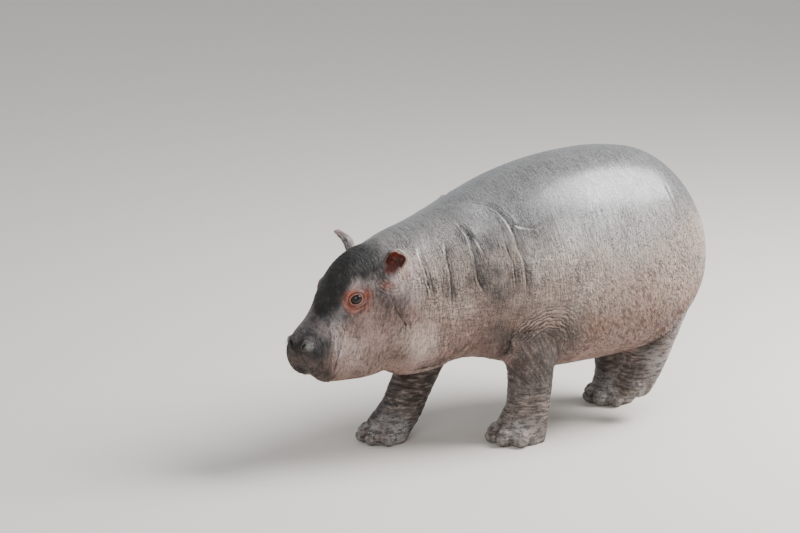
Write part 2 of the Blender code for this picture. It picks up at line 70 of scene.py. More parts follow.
SKULL = (
    (-17.0, 0.0, 4.0, -17.0, 7.0, 0.50, 2.0, 2.0),
    (-13.0, 0.0, 6.1, -18.6, 8.4, 0.48, 2.0, 2.1),
    (-8.0, 0.0, 6.9, -19.2, 9.0, 0.46, 2.0, 2.1),
    (-3.0, 0.0, 5.9, -18.8, 8.8, 0.45, 2.0, 2.1),
    (1.0, 0.0, 3.1, -17.6, 7.9, 0.46, 2.1, 2.1),
    (5.0, 0.0, -0.9, -16.0, 6.7, 0.48, 2.2, 2.1),
    (7.8, 0.0, -3.0, -14.6, 6.4, 0.50, 2.4, 2.2),
    (10.5, 0.0, -4.4, -14.2, 6.6, 0.50, 2.6, 2.3),
    (12.5, 0.0, -6.1, -13.6, 6.0, 0.50, 2.5, 2.3),
    (13.9, 0.0, -8.0, -12.6, 4.2, 0.50, 2.2, 2.2),
    (14.4, 0.0, -9.4, -11.2, 1.4, 0.50, 2.0, 2.0),
)
JAW = (
    (-12.0, 0.0, -11.0, -20.4, 6.0, 0.50, 2.0, 2.0),
    (-8.0, 0.0, -10.0, -22.4, 7.6, 0.50, 2.0, 2.2),
    (-3.0, 0.0, -10.0, -22.4, 7.8, 0.50, 2.0, 2.4),
    (2.0, 0.0, -10.0, -21.2, 7.2, 0.50, 2.0, 2.5),
    (6.5, 0.0, -10.5, -19.2, 6.3, 0.50, 2.0, 2.6),
    (9.4, 0.0, -11.0, -18.1, 5.2, 0.50, 2.0, 2.6),
    (11.2, 0.0, -12.4, -17.0, 4.0, 0.50, 2.0, 2.2),
    (12.2, 0.0, -13.8, -15.7, 1.4, 0.50, 2.0, 2.0),
)
LIP = ((3.5, 10.2, -11.1), (3.7, 4.5, 5.4))
NOSTRIL_MOUND = ((2.4, 12.1, -6.8), (2.1, 2.3, 1.9))
EYE_MOUND = ((4.2, -1.4, -0.4), (2.4, 2.9, 2.9))
CHEEK = ((5.4, -5.0, -11.0), (4.2, 6.0, 6.5))
LEGS = {
    "leg_front_left": (
        (1.0, 10.4, 42.0, 6.8, 9.0), (-0.8, 11.2, 33.0, 6.8, 8.4), (-1.9, 11.0, 25.0, 5.9, 6.7),
        (-2.7, 10.4, 18.0, 5.2, 5.8), (-2.9, 9.7, 12.0, 5.0, 5.4), (-2.7, 9.3, 7.5, 5.0, 5.4),
        (-1.8, 9.1, 4.4, 5.5, 6.0), (-0.9, 9.0, 2.0, 5.8, 6.4), (-0.7, 9.0, -0.8, 5.5, 6.1)),
    "leg_front_right": (
        (3.5, -10.2, 42.0, 6.8, 9.0), (6.0, -11.0, 33.0, 6.8, 8.6), (10.2, -10.8, 24.5, 5.9, 7.0),
        (14.2, -10.2, 17.0, 5.1, 5.7), (17.7, -9.6, 11.0, 4.8, 5.1), (20.5, -9.2, 6.6, 4.8, 5.0),
        (23.2, -9.0, 3.8, 5.1, 5.0), (24.8, -9.0, 1.8, 5.3, 5.2), (25.2, -9.0, -0.8, 5.0, 4.9)),
    "leg_hind_right": (
        (-40.5, -10.0, 42.0, 7.5, 12.0), (-41.2, -10.8, 33.0, 7.4, 11.0),
        (-42.6, -10.0, 24.0, 6.2, 8.0), (-42.6, -8.8, 16.0, 5.1, 6.0),
        (-42.1, -7.9, 10.5, 4.8, 5.3), (-41.6, -7.3, 6.6, 4.8, 5.2), (-40.9, -7.0, 3.9, 5.2, 5.4),
        (-40.3, -7.0, 1.8, 5.4, 5.6), (-40.1, -7.0, -0.8, 5.1, 5.3)),
    "leg_hind_left": (
        (-40.0, 10.0, 42.0, 7.5, 11.0), (-41.0, 11.0, 33.0, 7.2, 9.0),
        (-39.9, 10.8, 24.5, 6.1, 6.4), (-38.5, 10.0, 17.8, 5.2, 5.2), (-36.8, 9.3, 12.8, 4.6, 4.9),
        (-35.0, 9.0, 9.6, 4.5, 4.6), (-33.9, 8.9, 7.6, 4.4, 4.2), (-33.3, 8.9, 6.4, 3.4, 3.2)),
}
FEET = {
    "leg_front_left": (0.2, 9.0, 0.0, 1.05, 0.0),
    "leg_front_right": (24.8, -9.0, 0.0, 0.96, 0.0),
    "leg_hind_right": (-40.3, -7.0, 0.0, 0.98, 0.0),
    "leg_hind_left": (-35.6, 8.9, 9.6, 0.80, 62.0),
}
TOE_ANGLES = (-66.0, -21.0, 21.0, 66.0)
TOE_REACH = 4.7
TOE_HEIGHT = 1.9
TOE_RADII = (1.95, 2.4, 2.2)
TAIL = (
    (-49.4, 0.0, 53.4, 2.3, 1.7), (-52.9, 0.0, 51.2, 2.3, 1.7), (-55.5, 0.0, 47.2, 2.0, 1.3),
    (-56.7, 0.1, 42.6, 1.8, 1.0), (-56.9, 0.2, 38.2, 1.6, 0.8), (-56.4, 0.2, 34.8, 1.0, 0.5),
)


def in_body(forward, left, up):
    """World place of a place in the body: x is to the left, y is backward, z is up."""
    forward, left, up = np.broadcast_arrays(forward, left, up)
    return np.stack([left, ORIGIN_FORWARD - forward, up], axis=-1) * CM


HEAD_AHEAD = np.array([math.sin(HEAD_YAW) * math.cos(HEAD_NOD),
                       -math.cos(HEAD_YAW) * math.cos(HEAD_NOD), -math.sin(HEAD_NOD)])
level_side = np.array([math.cos(HEAD_YAW), math.sin(HEAD_YAW), 0.0])
level_above = np.cross(HEAD_AHEAD, level_side)
HEAD_SIDE = level_side * math.cos(HEAD_TILT) - level_above * math.sin(HEAD_TILT)
HEAD_ABOVE = level_above * math.cos(HEAD_TILT) + level_side * math.sin(HEAD_TILT)
HEAD_AXES = np.array([HEAD_SIDE, HEAD_AHEAD, HEAD_ABOVE])
HEAD_AT = in_body(*HEAD_MIDDLE)


def in_head(side, ahead, above):
    """World place of a place in the head: its three distances along the head's own axes."""
    side, ahead, above = np.broadcast_arrays(side, ahead, above)
    return HEAD_AT + np.stack([side, ahead, above], axis=-1) @ HEAD_AXES * CM


def eased(stations, count):
    """Rows on a cubic through the stations, evenly spaced by the length of the path."""
    rows = np.array(stations, dtype=float)
    along = np.concatenate([[0.0], np.cumsum(np.linalg.norm(np.diff(rows[:, :3], axis=0), axis=1))])
    slopes = np.gradient(rows, along, axis=0)
    at = np.linspace(0.0, along[-1], count)
    here = np.clip(np.searchsorted(along, at, side="right") - 1, 0, len(rows) - 2)
    span = (along[here + 1] - along[here])[:, None]
    t = (at - along[here])[:, None] / span
    stay = 2 * t**3 - 3 * t**2 + 1
    return (stay * rows[here] + (t**3 - 2 * t**2 + t) * span * slopes[here]
            + (1 - stay) * rows[here + 1] + (t**3 - t**2) * span * slopes[here + 1])


def tube(rings):
    """Closed surface over a grid of rings: quads round it and a fan at each end."""
    count, around = rings.shape[:2]
    points = np.concatenate([rings.reshape(-1, 3), [rings[0].mean(0)], [rings[-1].mean(0)]])
    row = np.arange(count - 1)[:, None] * around
    here = np.arange(around)[None, :]
    after = (here + 1) % around
    walls = np.stack([row + here, row + after, row + around + after, row + around + here], -1)
    last = (count - 1) * around
    turn, turned = np.arange(around), (np.arange(around) + 1) % around
    first_fan = np.stack([np.full(around, last + around), turned, turn], -1)
    last_fan = np.stack([np.full(around, last + around + 1), last + turn, last + turned], -1)
    return points, walls.reshape(-1, 4).tolist() + first_fan.tolist() + last_fan.tolist()


def barrel(stations, place, count, around=72):
    """Loft of upright sections: each is a superellipse that may be squarer above than below."""
    ahead, aside, top, bottom, half, share, up_power, down_power = (
        eased(stations, count)[:, i:i + 1] for i in range(8))
    level = bottom + (top - bottom) * share
    turn = np.linspace(0.0, 2 * math.pi, around, endpoint=False)[None, :]
    across, upward = np.cos(turn), np.sin(turn)
    power = np.where(upward > 0, up_power, down_power)
    reach = np.where(upward > 0, top - level, level - bottom)
    wide = aside + half * np.sign(across) * np.abs(across) ** (2 / power)
    high = level + reach * np.sign(upward) * np.abs(upward) ** (2 / power)
    return tube(place(ahead + 0 * wide, wide, high))


def limb(stations, count=60, around=40):
    """Loft of ellipses square to a path: half widths across it and fore and aft."""
    rows = eased(stations, count)
    path = in_body(rows[:, 0], rows[:, 1], rows[:, 2])
    along = np.gradient(path, axis=0)
    along /= np.linalg.norm(along, axis=1)[:, None]
    across = np.array([1.0, 0.0, 0.0]) - along[:, :1] * along
    across /= np.linalg.norm(across, axis=1)[:, None]
    fore = np.cross(along, across)
    turn = np.linspace(0.0, 2 * math.pi, around, endpoint=False)
    return tube(path[:, None]
                + (rows[:, 3, None] * CM * np.cos(turn))[..., None] * across[:, None]
                + (rows[:, 4, None] * CM * np.sin(turn))[..., None] * fore[:, None])


def mass(centre, radii, axes, rings=24, around=32):
    """Ellipsoid: a sphere's two angles on a grid, scaled along three axes. All in metres."""
    fall = np.linspace(0.02, math.pi - 0.02, rings)[:, None]
    turn = np.linspace(0.0, 2 * math.pi, around, endpoint=False)[None, :]
    unit = np.stack([np.sin(fall) * np.cos(turn), np.sin(fall) * np.sin(turn),
                     np.cos(fall) + 0 * turn], axis=-1)
    return tube(centre + (unit * np.array(radii)) @ np.array(axes))


def head_pair(centre, radii):
    """The same ellipsoid on both sides of the head, in centimetres along the head's axes."""
    return [mass(in_head(side * centre[0], centre[1], centre[2]), np.array(radii) * CM, HEAD_AXES)
            for side in (1, -1)]


def toe_frames(leg):
    """For each toe: the foot's middle, then unit vectors outward, sideways and up."""
    forward, left, up, spread, droop = FEET[leg]
    droop = math.radians(droop)
    ahead = np.array([0.0, -math.cos(droop), -math.sin(droop)])
    above = np.array([0.0, -math.sin(droop), math.cos(droop)])
    across = np.array([1.0, 0.0, 0.0])
    for angle in TOE_ANGLES:
        turn = math.radians(angle * min(spread, 1.0))
        outward = math.cos(turn) * ahead + math.sin(turn) * across
        yield in_body(forward, left, up), outward, np.cross(above, outward), above, spread


def mesh_of(name, surfaces):
    """One mesh that holds several closed surfaces, with their faces turned outward."""
    points, faces, start = [], [], 0
    for places, corners in surfaces:
        points.append(places)
        faces += [[corner + start for corner in face] for face in corners]
        start += len(places)
    mesh = bpy.data.meshes.new(name)
    mesh.from_pydata(np.concatenate(points).tolist(), [], faces)
    editing = bmesh.new()
    editing.from_mesh(mesh)
    bmesh.ops.recalc_face_normals(editing, faces=editing.faces)
    editing.to_mesh(mesh)
    editing.free()
    return mesh


def placed(name, data):
    """A new object in the scene, at its origin."""
    made = bpy.data.objects.new(name, data)
    bpy.context.scene.collection.objects.link(made)
    return made


def run_together(mesh, voxel, softening):
    """The mesh's solids as one closed surface of small squares, smoothed a number of times."""
    holder = placed("flesh", mesh)
    remesh = holder.modifiers.new("fuse", "REMESH")
    remesh.mode = "VOXEL"
    remesh.voxel_size = voxel
    soften = holder.modifiers.new("soften", "SMOOTH")
    soften.factor = 0.5
    soften.iterations = softening
    bpy.context.view_layer.update()
    graph = bpy.context.evaluated_depsgraph_get()
    fused = bpy.data.meshes.new_from_object(holder.evaluated_get(graph))
    bpy.data.objects.remove(holder)
    return fused


def surface_of(mesh):
    """A mesh's places and faces, to be run together with others."""
    places = np.empty(len(mesh.vertices) * 3)
    mesh.vertices.foreach_get("co", places)
    return places.reshape(-1, 3), [list(face.vertices) for face in mesh.polygons]


EAR_ROOT = (6.3, -12.2, 1.9)
EAR_TIP = (11.4, -12.0, 6.9)
EAR_MOUTH = (0.60, 0.78, -0.10)
EAR_ROOT_HALF_WIDTH = 1.7
EAR_HALF_WIDTH = 2.15
EAR_WIDEST = 0.55
EAR_DEPTH = 1.8
EAR_WALL = 0.60
EAR_BURIED = 0.22
EAR_LEAN = 1.5


def ear_axes(side):
    """The ear's root, its unit vectors along, across and out of the mouth, and its length."""
    root = in_head(side * EAR_ROOT[0], EAR_ROOT[1], EAR_ROOT[2])
    tip = in_head(side * EAR_TIP[0], EAR_TIP[1], EAR_TIP[2])
    length = np.linalg.norm(tip - root)
    along = (tip - root) / length
    mouth = np.array([side * EAR_MOUTH[0], EAR_MOUTH[1], EAR_MOUTH[2]]) @ HEAD_AXES
    mouth -= along * (mouth @ along)
    mouth /= np.linalg.norm(mouth)
    return root, along, np.cross(along, mouth), mouth, length


def eased_step(low, high, value):
    """0 below low, 1 above high, with a smooth rise between; low may be above high."""
    t = np.clip((value - low) / (high - low), 0.0, 1.0)
    return t * t * (3 - 2 * t)


def ear_section(t):
    """Half width, depth and how far its middle lies toward the mouth, by the share of length."""
    rise = np.clip(t / EAR_WIDEST, 0.0, 1.0)
    fall = np.clip((t - EAR_WIDEST) / (1.0 - EAR_WIDEST), 0.0, 1.0)
    half = (EAR_ROOT_HALF_WIDTH + (EAR_HALF_WIDTH - EAR_ROOT_HALF_WIDTH)
            * np.sin(rise * math.pi / 2)) * np.sqrt(np.clip(1.0 - fall**2.4, 0.01, 1.0))
    lean = EAR_LEAN * eased_step(0.62, -0.10, t) + 0.2 * np.clip(t, 0.0, 1.0) ** 3
    return half, np.minimum(EAR_DEPTH * (1 - 0.55 * eased_step(0.3, 1.0, t)), 0.85 * half), lean


def ear(side, count=48, arc=22, cap=7):
    """Rolled leaf: a half ellipse of even thickness, round at its rims, carried along a path.

    Toward the root its hollow fills up, so that the section becomes a whole oval stalk.
    """
    root, along, across, mouth, length = ear_axes(side)
    t = (1.0 + EAR_BURIED) * np.sin(np.linspace(0.0, math.pi / 2, count))[:, None] - EAR_BURIED
    half, depth, lean = ear_section(t)
    wall = EAR_WALL / 2 * eased_step(-0.35, 0.15, 1.0 - t)
    turn = np.linspace(-math.pi / 2, math.pi / 2, arc)[None, :]
    round_cap = np.linspace(0.0, math.pi, cap + 2)[None, 1:-1]
    middle_x, middle_y = half * np.sin(turn), -depth * np.cos(turn)
    normal_x, normal_y = depth * np.sin(turn), -half * np.cos(turn)
    size = np.hypot(normal_x, normal_y) + 1e-9
    normal_x, normal_y = normal_x / size, normal_y / size
    hollow = eased_step(-0.24, -0.04, t) * eased_step(1.0, 0.86, t)
    inner_x = middle_x - wall * normal_x
    inner_y = (middle_y - wall * normal_y) * hollow + (1 - hollow) * 0.75 * depth * np.cos(turn)
    x = np.concatenate([middle_x + wall * normal_x, half + wall * np.cos(round_cap),
                        inner_x[:, ::-1], -half + wall * np.cos(round_cap)], axis=1)
    y = np.concatenate([middle_y + wall * normal_y, wall * np.sin(round_cap) + 0 * half,
                        inner_y[:, ::-1], wall * np.sin(round_cap) + 0 * half], axis=1)
    path = root + t * length * along + lean * CM * mouth
    return tube(path[:, None] + (x[..., None] * across + y[..., None] * mouth) * CM)


FUSE_VOXEL = 0.009
DETAIL_VOXEL = 0.0034
HIDE_VOXEL = 0.0023

trunk_and_legs = [barrel(TRUNK, in_body, 110), barrel(SKULL, lambda a, s, h: in_head(s, a, h), 70),
                  barrel(JAW, lambda a, s, h: in_head(s, a, h), 60)]
trunk_and_legs += [limb(stations) for stations in LEGS.values()] + head_pair(*CHEEK)
body_form = run_together(mesh_of("body", trunk_and_legs), FUSE_VOXEL, 9)

detailed = [surface_of(body_form), limb(TAIL, 60, 24)]
for pair in (LIP, NOSTRIL_MOUND, EYE_MOUND):
    detailed += head_pair(*pair)
for leg in FEET:
    for foot, outward, sideways, above, spread in toe_frames(leg):
        detailed.append(mass(foot + (TOE_REACH * spread * outward + TOE_HEIGHT * above) * CM,
                             np.array([TOE_RADII[1], TOE_RADII[0], TOE_RADII[2]]) * CM,
                             (outward, sideways, above)))
detail_form = run_together(mesh_of("detail", detailed), DETAIL_VOXEL, 5)
flesh = run_together(mesh_of("flesh", [surface_of(detail_form), ear(1), ear(-1)]), HIDE_VOXEL, 2)

# --- Hide ------------------------------------------------------------------------------------
# Thick bare skin over the whole calf, in one piece: smooth and damp on the back, finely lined
# on the flanks, ringed on the legs. Folds, lids, lips and nostrils are worked into its surface.
# Its colour also carries painted shade in grooves, creases and hollows, and painted sheen.


def noise(places, size, seed):
    """Smooth noise from -1 to 1: values at the corners of a lattice, mixed along each axis."""
    cell = places / np.array(size)
    low = np.floor(cell).astype(np.int64)
    t = cell - low
    t = t * t * (3 - 2 * t)
    total = np.zeros(len(places))
    for corner in np.ndindex(2, 2, 2):
        spot = low + np.array(corner)
        mixed = (spot[:, 0] * 73856093) ^ (spot[:, 1] * 19349663) ^ (spot[:, 2] * 83492791)
        mixed = ((mixed ^ (seed * 40503)) * 1274126177) & 0xFFFFFFFF
        mixed = ((mixed ^ (mixed >> 15)) * 2246822519) & 0xFFFFFFFF
        value = ((mixed ^ (mixed >> 13)) & 0xFFFF) / 32767.5 - 1.0
        total += value * np.prod(np.where(np.array(corner) == 1, t, 1.0 - t), axis=1)
    return total


def body_places(places):
    """Forward, left and up of world places, in centimetres."""
    return ORIGIN_FORWARD - places[:, 1] / CM, places[:, 0] / CM, places[:, 2] / CM


def head_places(places):
    """Side, ahead and above of world places, in centimetres."""
    return ((places - HEAD_AT) @ HEAD_AXES.T / CM).T


def bell(value, width):
    """1 at zero, falling to nothing over a few widths."""
    return np.exp(-(value / width) ** 2)


# Folds, each with its depth, half width, the roll beside it and how far one side hangs over
# the other, then its course over the left side. They are mirrored to the right. Those of the
# head are in the head's own places.
BODY_FOLDS = (
    (0.55, 0.45, 0.40, 0.25,
     ((13.0, 3.4, 57.6), (11.1, 5.2, 57.4), (6.8, 11.0, 55.4), (5.0, 16.4, 47.6), (4.2, 18.0, 39.6),
      (5.0, 17.9, 33.5))),
    (0.28, 0.30, 0.18, 0.00, ((8.4, 14.2, 50.4), (7.3, 16.8, 44.4), (6.7, 17.6, 38.0))),
    (0.50, 0.45, 0.38, 0.18,
     ((17.0, 7.5, 54.6), (16.1, 11.5, 51.1), (16.2, 14.4, 45.8), (15.8, 15.7, 40.9),
      (14.2, 16.2, 37.2))),
    (0.34, 0.40, 0.28, 0.10,
     ((21.5, 9.6, 50.8), (22.3, 11.9, 47.4), (22.7, 14.1, 41.2), (22.8, 14.6, 35.9))),
    (0.34, 0.40, 0.28, 0.10,
     ((28.1, 8.0, 49.9), (28.6, 10.3, 47.2), (28.4, 12.1, 43.7), (27.6, 13.5, 38.0))),
    (0.16, 0.30, 0.12, 0.00,
     ((18.0, 2.4, 55.5), (16.1, 10.2, 52.5), (13.9, 14.1, 48.1), (12.6, 16.0, 43.0))),
    (0.16, 0.25, 0.10, 0.00,
     ((6.6, 12.6, 53.6), (3.2, 14.5, 52.3), (1.2, 15.2, 51.9), (-2.8, 15.6, 52.6))),
    (0.10, 0.25, 0.06, 0.00, ((-17.2, 15.9, 55.6), (-17.8, 17.6, 52.4), (-18.6, 19.2, 48.8))),
    (0.12, 0.25, 0.08, 0.00, ((-21.4, 18.4, 51.4), (-22.4, 19.4, 48.6), (-23.4, 20.4, 45.6))),
    (0.10, 0.25, 0.06, 0.00, ((-12.9, 17.8, 51.6), (-13.6, 18.8, 49.2), (-14.2, 19.6, 46.4))),
    (0.12, 0.25, 0.08, 0.00, ((-2.0, 16.8, 50.4), (-2.3, 18.0, 46.8), (-2.6, 18.9, 42.8))),
    (0.13, 0.26, 0.12, 0.00, ((-31.8, 19.2, 49.0), (-34.0, 19.7, 46.4), (-37.6, 19.7, 45.0))),
    (0.12, 0.24, 0.10, 0.00, ((-38.0, 19.6, 43.6), (-41.4, 18.6, 44.4), (-44.4, 17.2, 46.8))),
    (0.12, 0.40, 0.16, 0.00, ((-38.8, 13.6, 57.6), (-39.4, 16.4, 53.4), (-39.0, 18.4, 48.8))),
    (0.95, 0.50, 0.50, 1.50,
     ((-46.0, 17.4, 31.5), (-43.4, 17.4, 27.4), (-39.6, 16.4, 22.8), (-35.2, 14.6, 19.6),
      (-31.2, 11.4, 17.4))),
    (0.20, 0.35, 0.26, 0.00,
     ((6.4, 13.8, 25.0), (2.9, 16.5, 28.4), (-0.5, 17.3, 28.1), (-3.7, 17.2, 26.1),
      (-6.1, 15.9, 22.9), (-8.4, 13.2, 18.6))),
    (0.15, 0.32, 0.20, 0.00,
     ((5.0, 16.4, 29.6), (1.2, 18.0, 31.6), (-2.2, 18.7, 31.4), (-4.9, 18.8, 30.0),
      (-7.4, 18.4, 27.0), (-9.4, 16.6, 23.0), (-10.2, 13.9, 19.2))),
    (0.12, 0.28, 0.16, 0.00,
     ((3.4, 15.6, 25.0), (0.4, 16.8, 25.6), (-2.6, 16.4, 23.8), (-4.8, 14.8, 20.6))),
    (0.60, 0.60, 0.40, 0.20,
     ((5.2, 8.6, 19.2), (5.6, 12.0, 23.2), (6.0, 14.4, 26.2), (7.0, 16.6, 31.0))),
    (0.45, 0.60, 0.45, 0.15,
     ((31.0, 7.4, 20.6), (27.2, 9.0, 21.2), (22.6, 10.2, 21.8), (19.0, 11.4, 24.0),
      (16.6, 13.2, 27.4))),
    (0.18, 0.35, 0.12, 0.00, ((26.0, 12.6, 33.0), (25.4, 12.8, 29.0), (25.8, 12.0, 25.0))),
)
HEAD_FOLDS = (
    (0.40, 0.26, 0.26, 0.12,
     ((9.3, -8.2, -0.2), (9.9, -7.2, -2.8), (11.0, -7.0, -5.4), (12.4, -7.5, -9.4),
      (12.6, -8.2, -11.6))),
    (0.32, 0.26, 0.42, 0.18,
     ((5.9, 10.8, -14.0), (6.6, 10.6, -12.8), (7.0, 10.2, -11.6), (7.2, 9.0, -10.1),
      (6.9, 7.3, -8.6), (6.6, 6.3, -6.2), (5.8, 5.9, -4.4))),
    (0.45, 0.30, 0.16, 0.10,
     ((0.4, 13.4, -13.6), (2.0, 13.6, -15.0), (3.6, 12.6, -15.9), (5.0, 11.4, -15.3),
      (5.9, 10.2, -14.2), (6.4, 9.0, -13.9), (6.6, 7.6, -14.3), (6.6, 6.2, -14.6))),
    (0.10, 0.22, 0.16, 0.00,
     ((4.6, 11.2, -5.6), (5.6, 10.4, -8.0), (5.9, 10.6, -10.6), (5.2, 11.8, -12.6))),
    (0.08, 0.20, 0.14, 0.00,
     ((5.2, 8.6, -5.2), (6.2, 8.4, -7.4), (6.7, 8.6, -9.8), (6.3, 9.8, -11.8))),
    (0.14, 0.30, 0.10, 0.00, ((7.6, 5.4, -6.6), (8.0, 3.6, -8.2), (8.4, 1.0, -9.0))),
    (0.12, 0.30, 0.10, 0.00, ((7.5, 5.2, -9.4), (7.9, 3.0, -10.8), (8.4, 0.4, -11.4))),
    (0.12, 0.30, 0.08, 0.00, ((8.6, -3.6, -5.8), (9.2, -4.2, -8.0), (9.6, -4.4, -10.4))),
)


def fold_lines():
    """Every fold's row of sizes, the side it is on, and its course as close world places."""
    for folds, place in ((BODY_FOLDS, in_body), (HEAD_FOLDS, in_head)):
        for depth, width, roll, step, course in folds:
            rows = eased(course, 40)
            for side in (1, -1):
                if place is in_body:
                    middle = 1.5 * eased_step(0.0, 36.0, rows[:, 0])
                    yield depth, width, roll, step, side, in_body(
                        rows[:, 0], middle + side * (rows[:, 1] - middle), rows[:, 2])
                else:
                    yield depth, width, roll, step, side, in_head(
                        side * rows[:, 0], rows[:, 1], rows[:, 2])


FAR = 9.0


def folded(places, normals):
    """Height the folds give at each place, in centimetres, how deep in one it lies, and where.

    Across a fold there is a pointed groove, a roll on both sides that is higher toward the
    head, and a broken second and third groove beyond it. Along the fold these fade at the ends.
    The last two values are the distance to the strongest fold near by, counted in its half
    widths and signed by its side, and how strong that fold is there.
    """
    height, crease = np.zeros(len(places)), np.zeros(len(places))
    beside, presence = np.full(len(places), FAR), np.zeros(len(places))
    waver = np.stack([noise(places, (0.030,) * 3, seed) for seed in (31, 32, 33)], axis=-1)
    waver += 0.5 * np.stack([noise(places, (0.012,) * 3, seed) for seed in (34, 35, 36)], axis=-1)
    wavering = places + 0.0024 * waver
    strength = 0.85 + 0.45 * noise(places, (0.035,) * 3, 37)
    broken = np.clip(0.25 + 1.6 * noise(places, (0.028,) * 3, 38), 0.0, 1.0)
    for depth, width, roll, overhang, side, line in fold_lines():
        reach = (6.0 * width + 4.0 * min(overhang, 1.0)) * CM
        near = np.flatnonzero(np.all((places > line.min(0) - reach)
                                     & (places < line.max(0) + reach), axis=1))
        start, step = line[:-1], np.diff(line, axis=0)
        best, share, toward = np.full(len(near), 1.0), np.zeros(len(near)), np.zeros(len(near))
        for number, (corner, edge) in enumerate(zip(start, step)):
            offset = wavering[near] - corner
            t = np.clip(offset @ edge / (edge @ edge), 0.0, 1.0)
            away = np.linalg.norm(offset - t[:, None] * edge, axis=1)
            closer = away < best
            best = np.where(closer, away, best)
            share = np.where(closer, (number + t) / len(step), share)
            turned = np.einsum("ij,ij->i", np.cross(edge, offset), normals[near])
            toward = np.where(closer, turned, toward)
        away = best / CM
        fade = (eased_step(0.0, 0.22, share) * eased_step(1.0, 0.80, share)) * strength[near]
        groove = np.exp(-(away / width) ** 1.3)
        upper_side = -side * np.sign(toward)
        higher = 0.7 + 0.3 * upper_side
        second = broken[near] * (bell(away - 2.7 * width, 0.50 * width)
                                 + 0.6 * bell(away - 4.3 * width, 0.45 * width))
        height[near] += fade * (roll * higher * bell(away - 2.1 * width, 1.8 * width)
                                - depth * groove - 0.30 * depth * second
                                + overhang * (0.675 * np.tanh(upper_side * away / 0.5) - 0.325)
                                * np.exp(-away / 2.2))
        deep = fade * (groove + 0.45 * second) * min(1.0, depth / 0.35)
        crease[near] = np.maximum(crease[near], deep)
        here = fade * min(1.0, depth / 0.32) * eased_step(6.0, 2.5, away / width)
        stronger = here > presence[near]
        beside[near] = np.where(stronger, -upper_side * away / width, beside[near])
        presence[near] = np.maximum(presence[near], here)
    return height, np.clip(crease, 0.0, 1.0), beside, presence


def of_head(ahead, above):
    """1 on the head and 0 behind it and below it, with a smooth change over the neck."""
    return eased_step(-15.5, -9.0, ahead) * eased_step(-27.5, -24.0, above)


ELBOW = (-2.5, 24.0)


def elbow_side(forward, up):
    """1 above and behind the elbow, where the hide lies in arcs round it."""
    return np.maximum(eased_step(24.5, 27.0, up),
                      eased_step(-5.0, -7.5, forward) * eased_step(18.0, 22.0, up))


def tail_sides(places):
    """1 on and beside the tail, and how far outside its edge each place is, in centimetres."""
    forward, left, up = body_places(places)
    beside_tail = (eased_step(-50.5, -53.0, forward) * eased_step(33.5, 36.0, up)
                   * eased_step(54.0, 51.0, up))
    return beside_tail, np.abs(left) - np.interp(up, (35.0, 42.0, 53.0), (1.1, 1.8, 2.5))


def wrinkled(places):
    """Height, in centimetres, of the smaller wrinkles: rings, lines and whorls."""
    forward, left, up = body_places(places)
    side, ahead, above = head_places(places)
    off_head = 1 - of_head(ahead, above)
    leg = eased_step(23.0, 14.0, up) * off_head
    slope = 0.35 * noise(places, (0.09, 0.09, 0.09), 4)
    rings = up + slope * forward + 0.6 * noise(places, (0.04, 0.04, 0.02), 3)
    rings = np.sin(2 * math.pi * rings / 1.15)
    ring_patch = eased_step(-0.45, 0.35, noise(places, (0.05, 0.05, 0.03), 5))
    height = -0.12 * leg * ring_patch * np.clip(rings, -0.2, 1.0) ** 2 * eased_step(1.5, 4.5, up)
    sags = noise(places, (0.055, 0.055, 0.0080), 6)
    height += 0.11 * leg * sags * eased_step(1.0, 4.0, up)
    forward_down = np.stack([places[:, 0], places[:, 1] * 0.84 + places[:, 2] * 0.54,
                             places[:, 2] * 0.84 - places[:, 1] * 0.54], axis=-1)
    upper_leg = eased_step(30.0, 26.0, up) * eased_step(10.0, 17.0, up) * off_head
    upper_leg *= eased_step(-12.0, -9.0, forward) * eased_step(10.0, 6.0, forward)
    height += 0.13 * upper_leg * noise(forward_down, (0.05, 0.0085, 0.045), 8)
    lines = noise(places, (0.06, 0.0085, 0.05), 7)
    height += 0.045 * off_head * (1 - leg) * lines * eased_step(60.0, 48.0, up)
    pebbles = noise(places, (0.010, 0.010, 0.012), 11)
    low_flank = eased_step(38.0, 26.0, up) * (1 - leg) * off_head
    height += 0.075 * low_flank * pebbles
    whorl = np.linalg.norm(np.stack([forward - 14.0, np.abs(left - 0.5) - 14.8, up - 29.8]), axis=0)
    height += 0.09 * np.cos(2 * math.pi * (whorl + 0.3 * pebbles) / 1.05) * bell(whorl, 2.3)
    elbow = (np.hypot(forward - ELBOW[0], up - ELBOW[1])
             + 0.35 * noise(places, (0.03, 0.03, 0.03), 15))
    arcs = eased_step(3.4, 4.8, elbow) * eased_step(10.5, 8.0, elbow) * elbow_side(forward, up)
    height += 0.14 * arcs * off_head * np.sin(2 * math.pi * elbow / 0.95) * (0.2 + 0.8 * ring_patch)
    crown = eased_step(-1.0, -4.0, ahead) * eased_step(0.5, 3.0, above) * (1 - off_head)
    crown_wave = ahead + 0.7 * noise(places, (0.025, 0.03, 0.03), 13)
    height += 0.05 * crown * np.sin(2 * math.pi * crown_wave / 0.95)
    beside_tail, past_edge = tail_sides(places)
    height += beside_tail * (0.40 * eased_step(0.3, -0.5, past_edge)
                             - 0.50 * bell(past_edge - 0.45, 0.42))
    ear_side = np.linalg.norm(np.stack([np.abs(side) - 8.6, ahead + 11.0, above - 1.8]), axis=0)
    before_ear = eased_step(-10.0, -8.6, ahead - 0.3 * above) * eased_step(-4.0, -1.5, above)
    window = eased_step(2.3, 2.9, ear_side) * eased_step(6.4, 5.0, ear_side)
    height += 0.16 * before_ear * window * np.cos(2 * math.pi * (ear_side - 2.2) / 0.74)
    return height


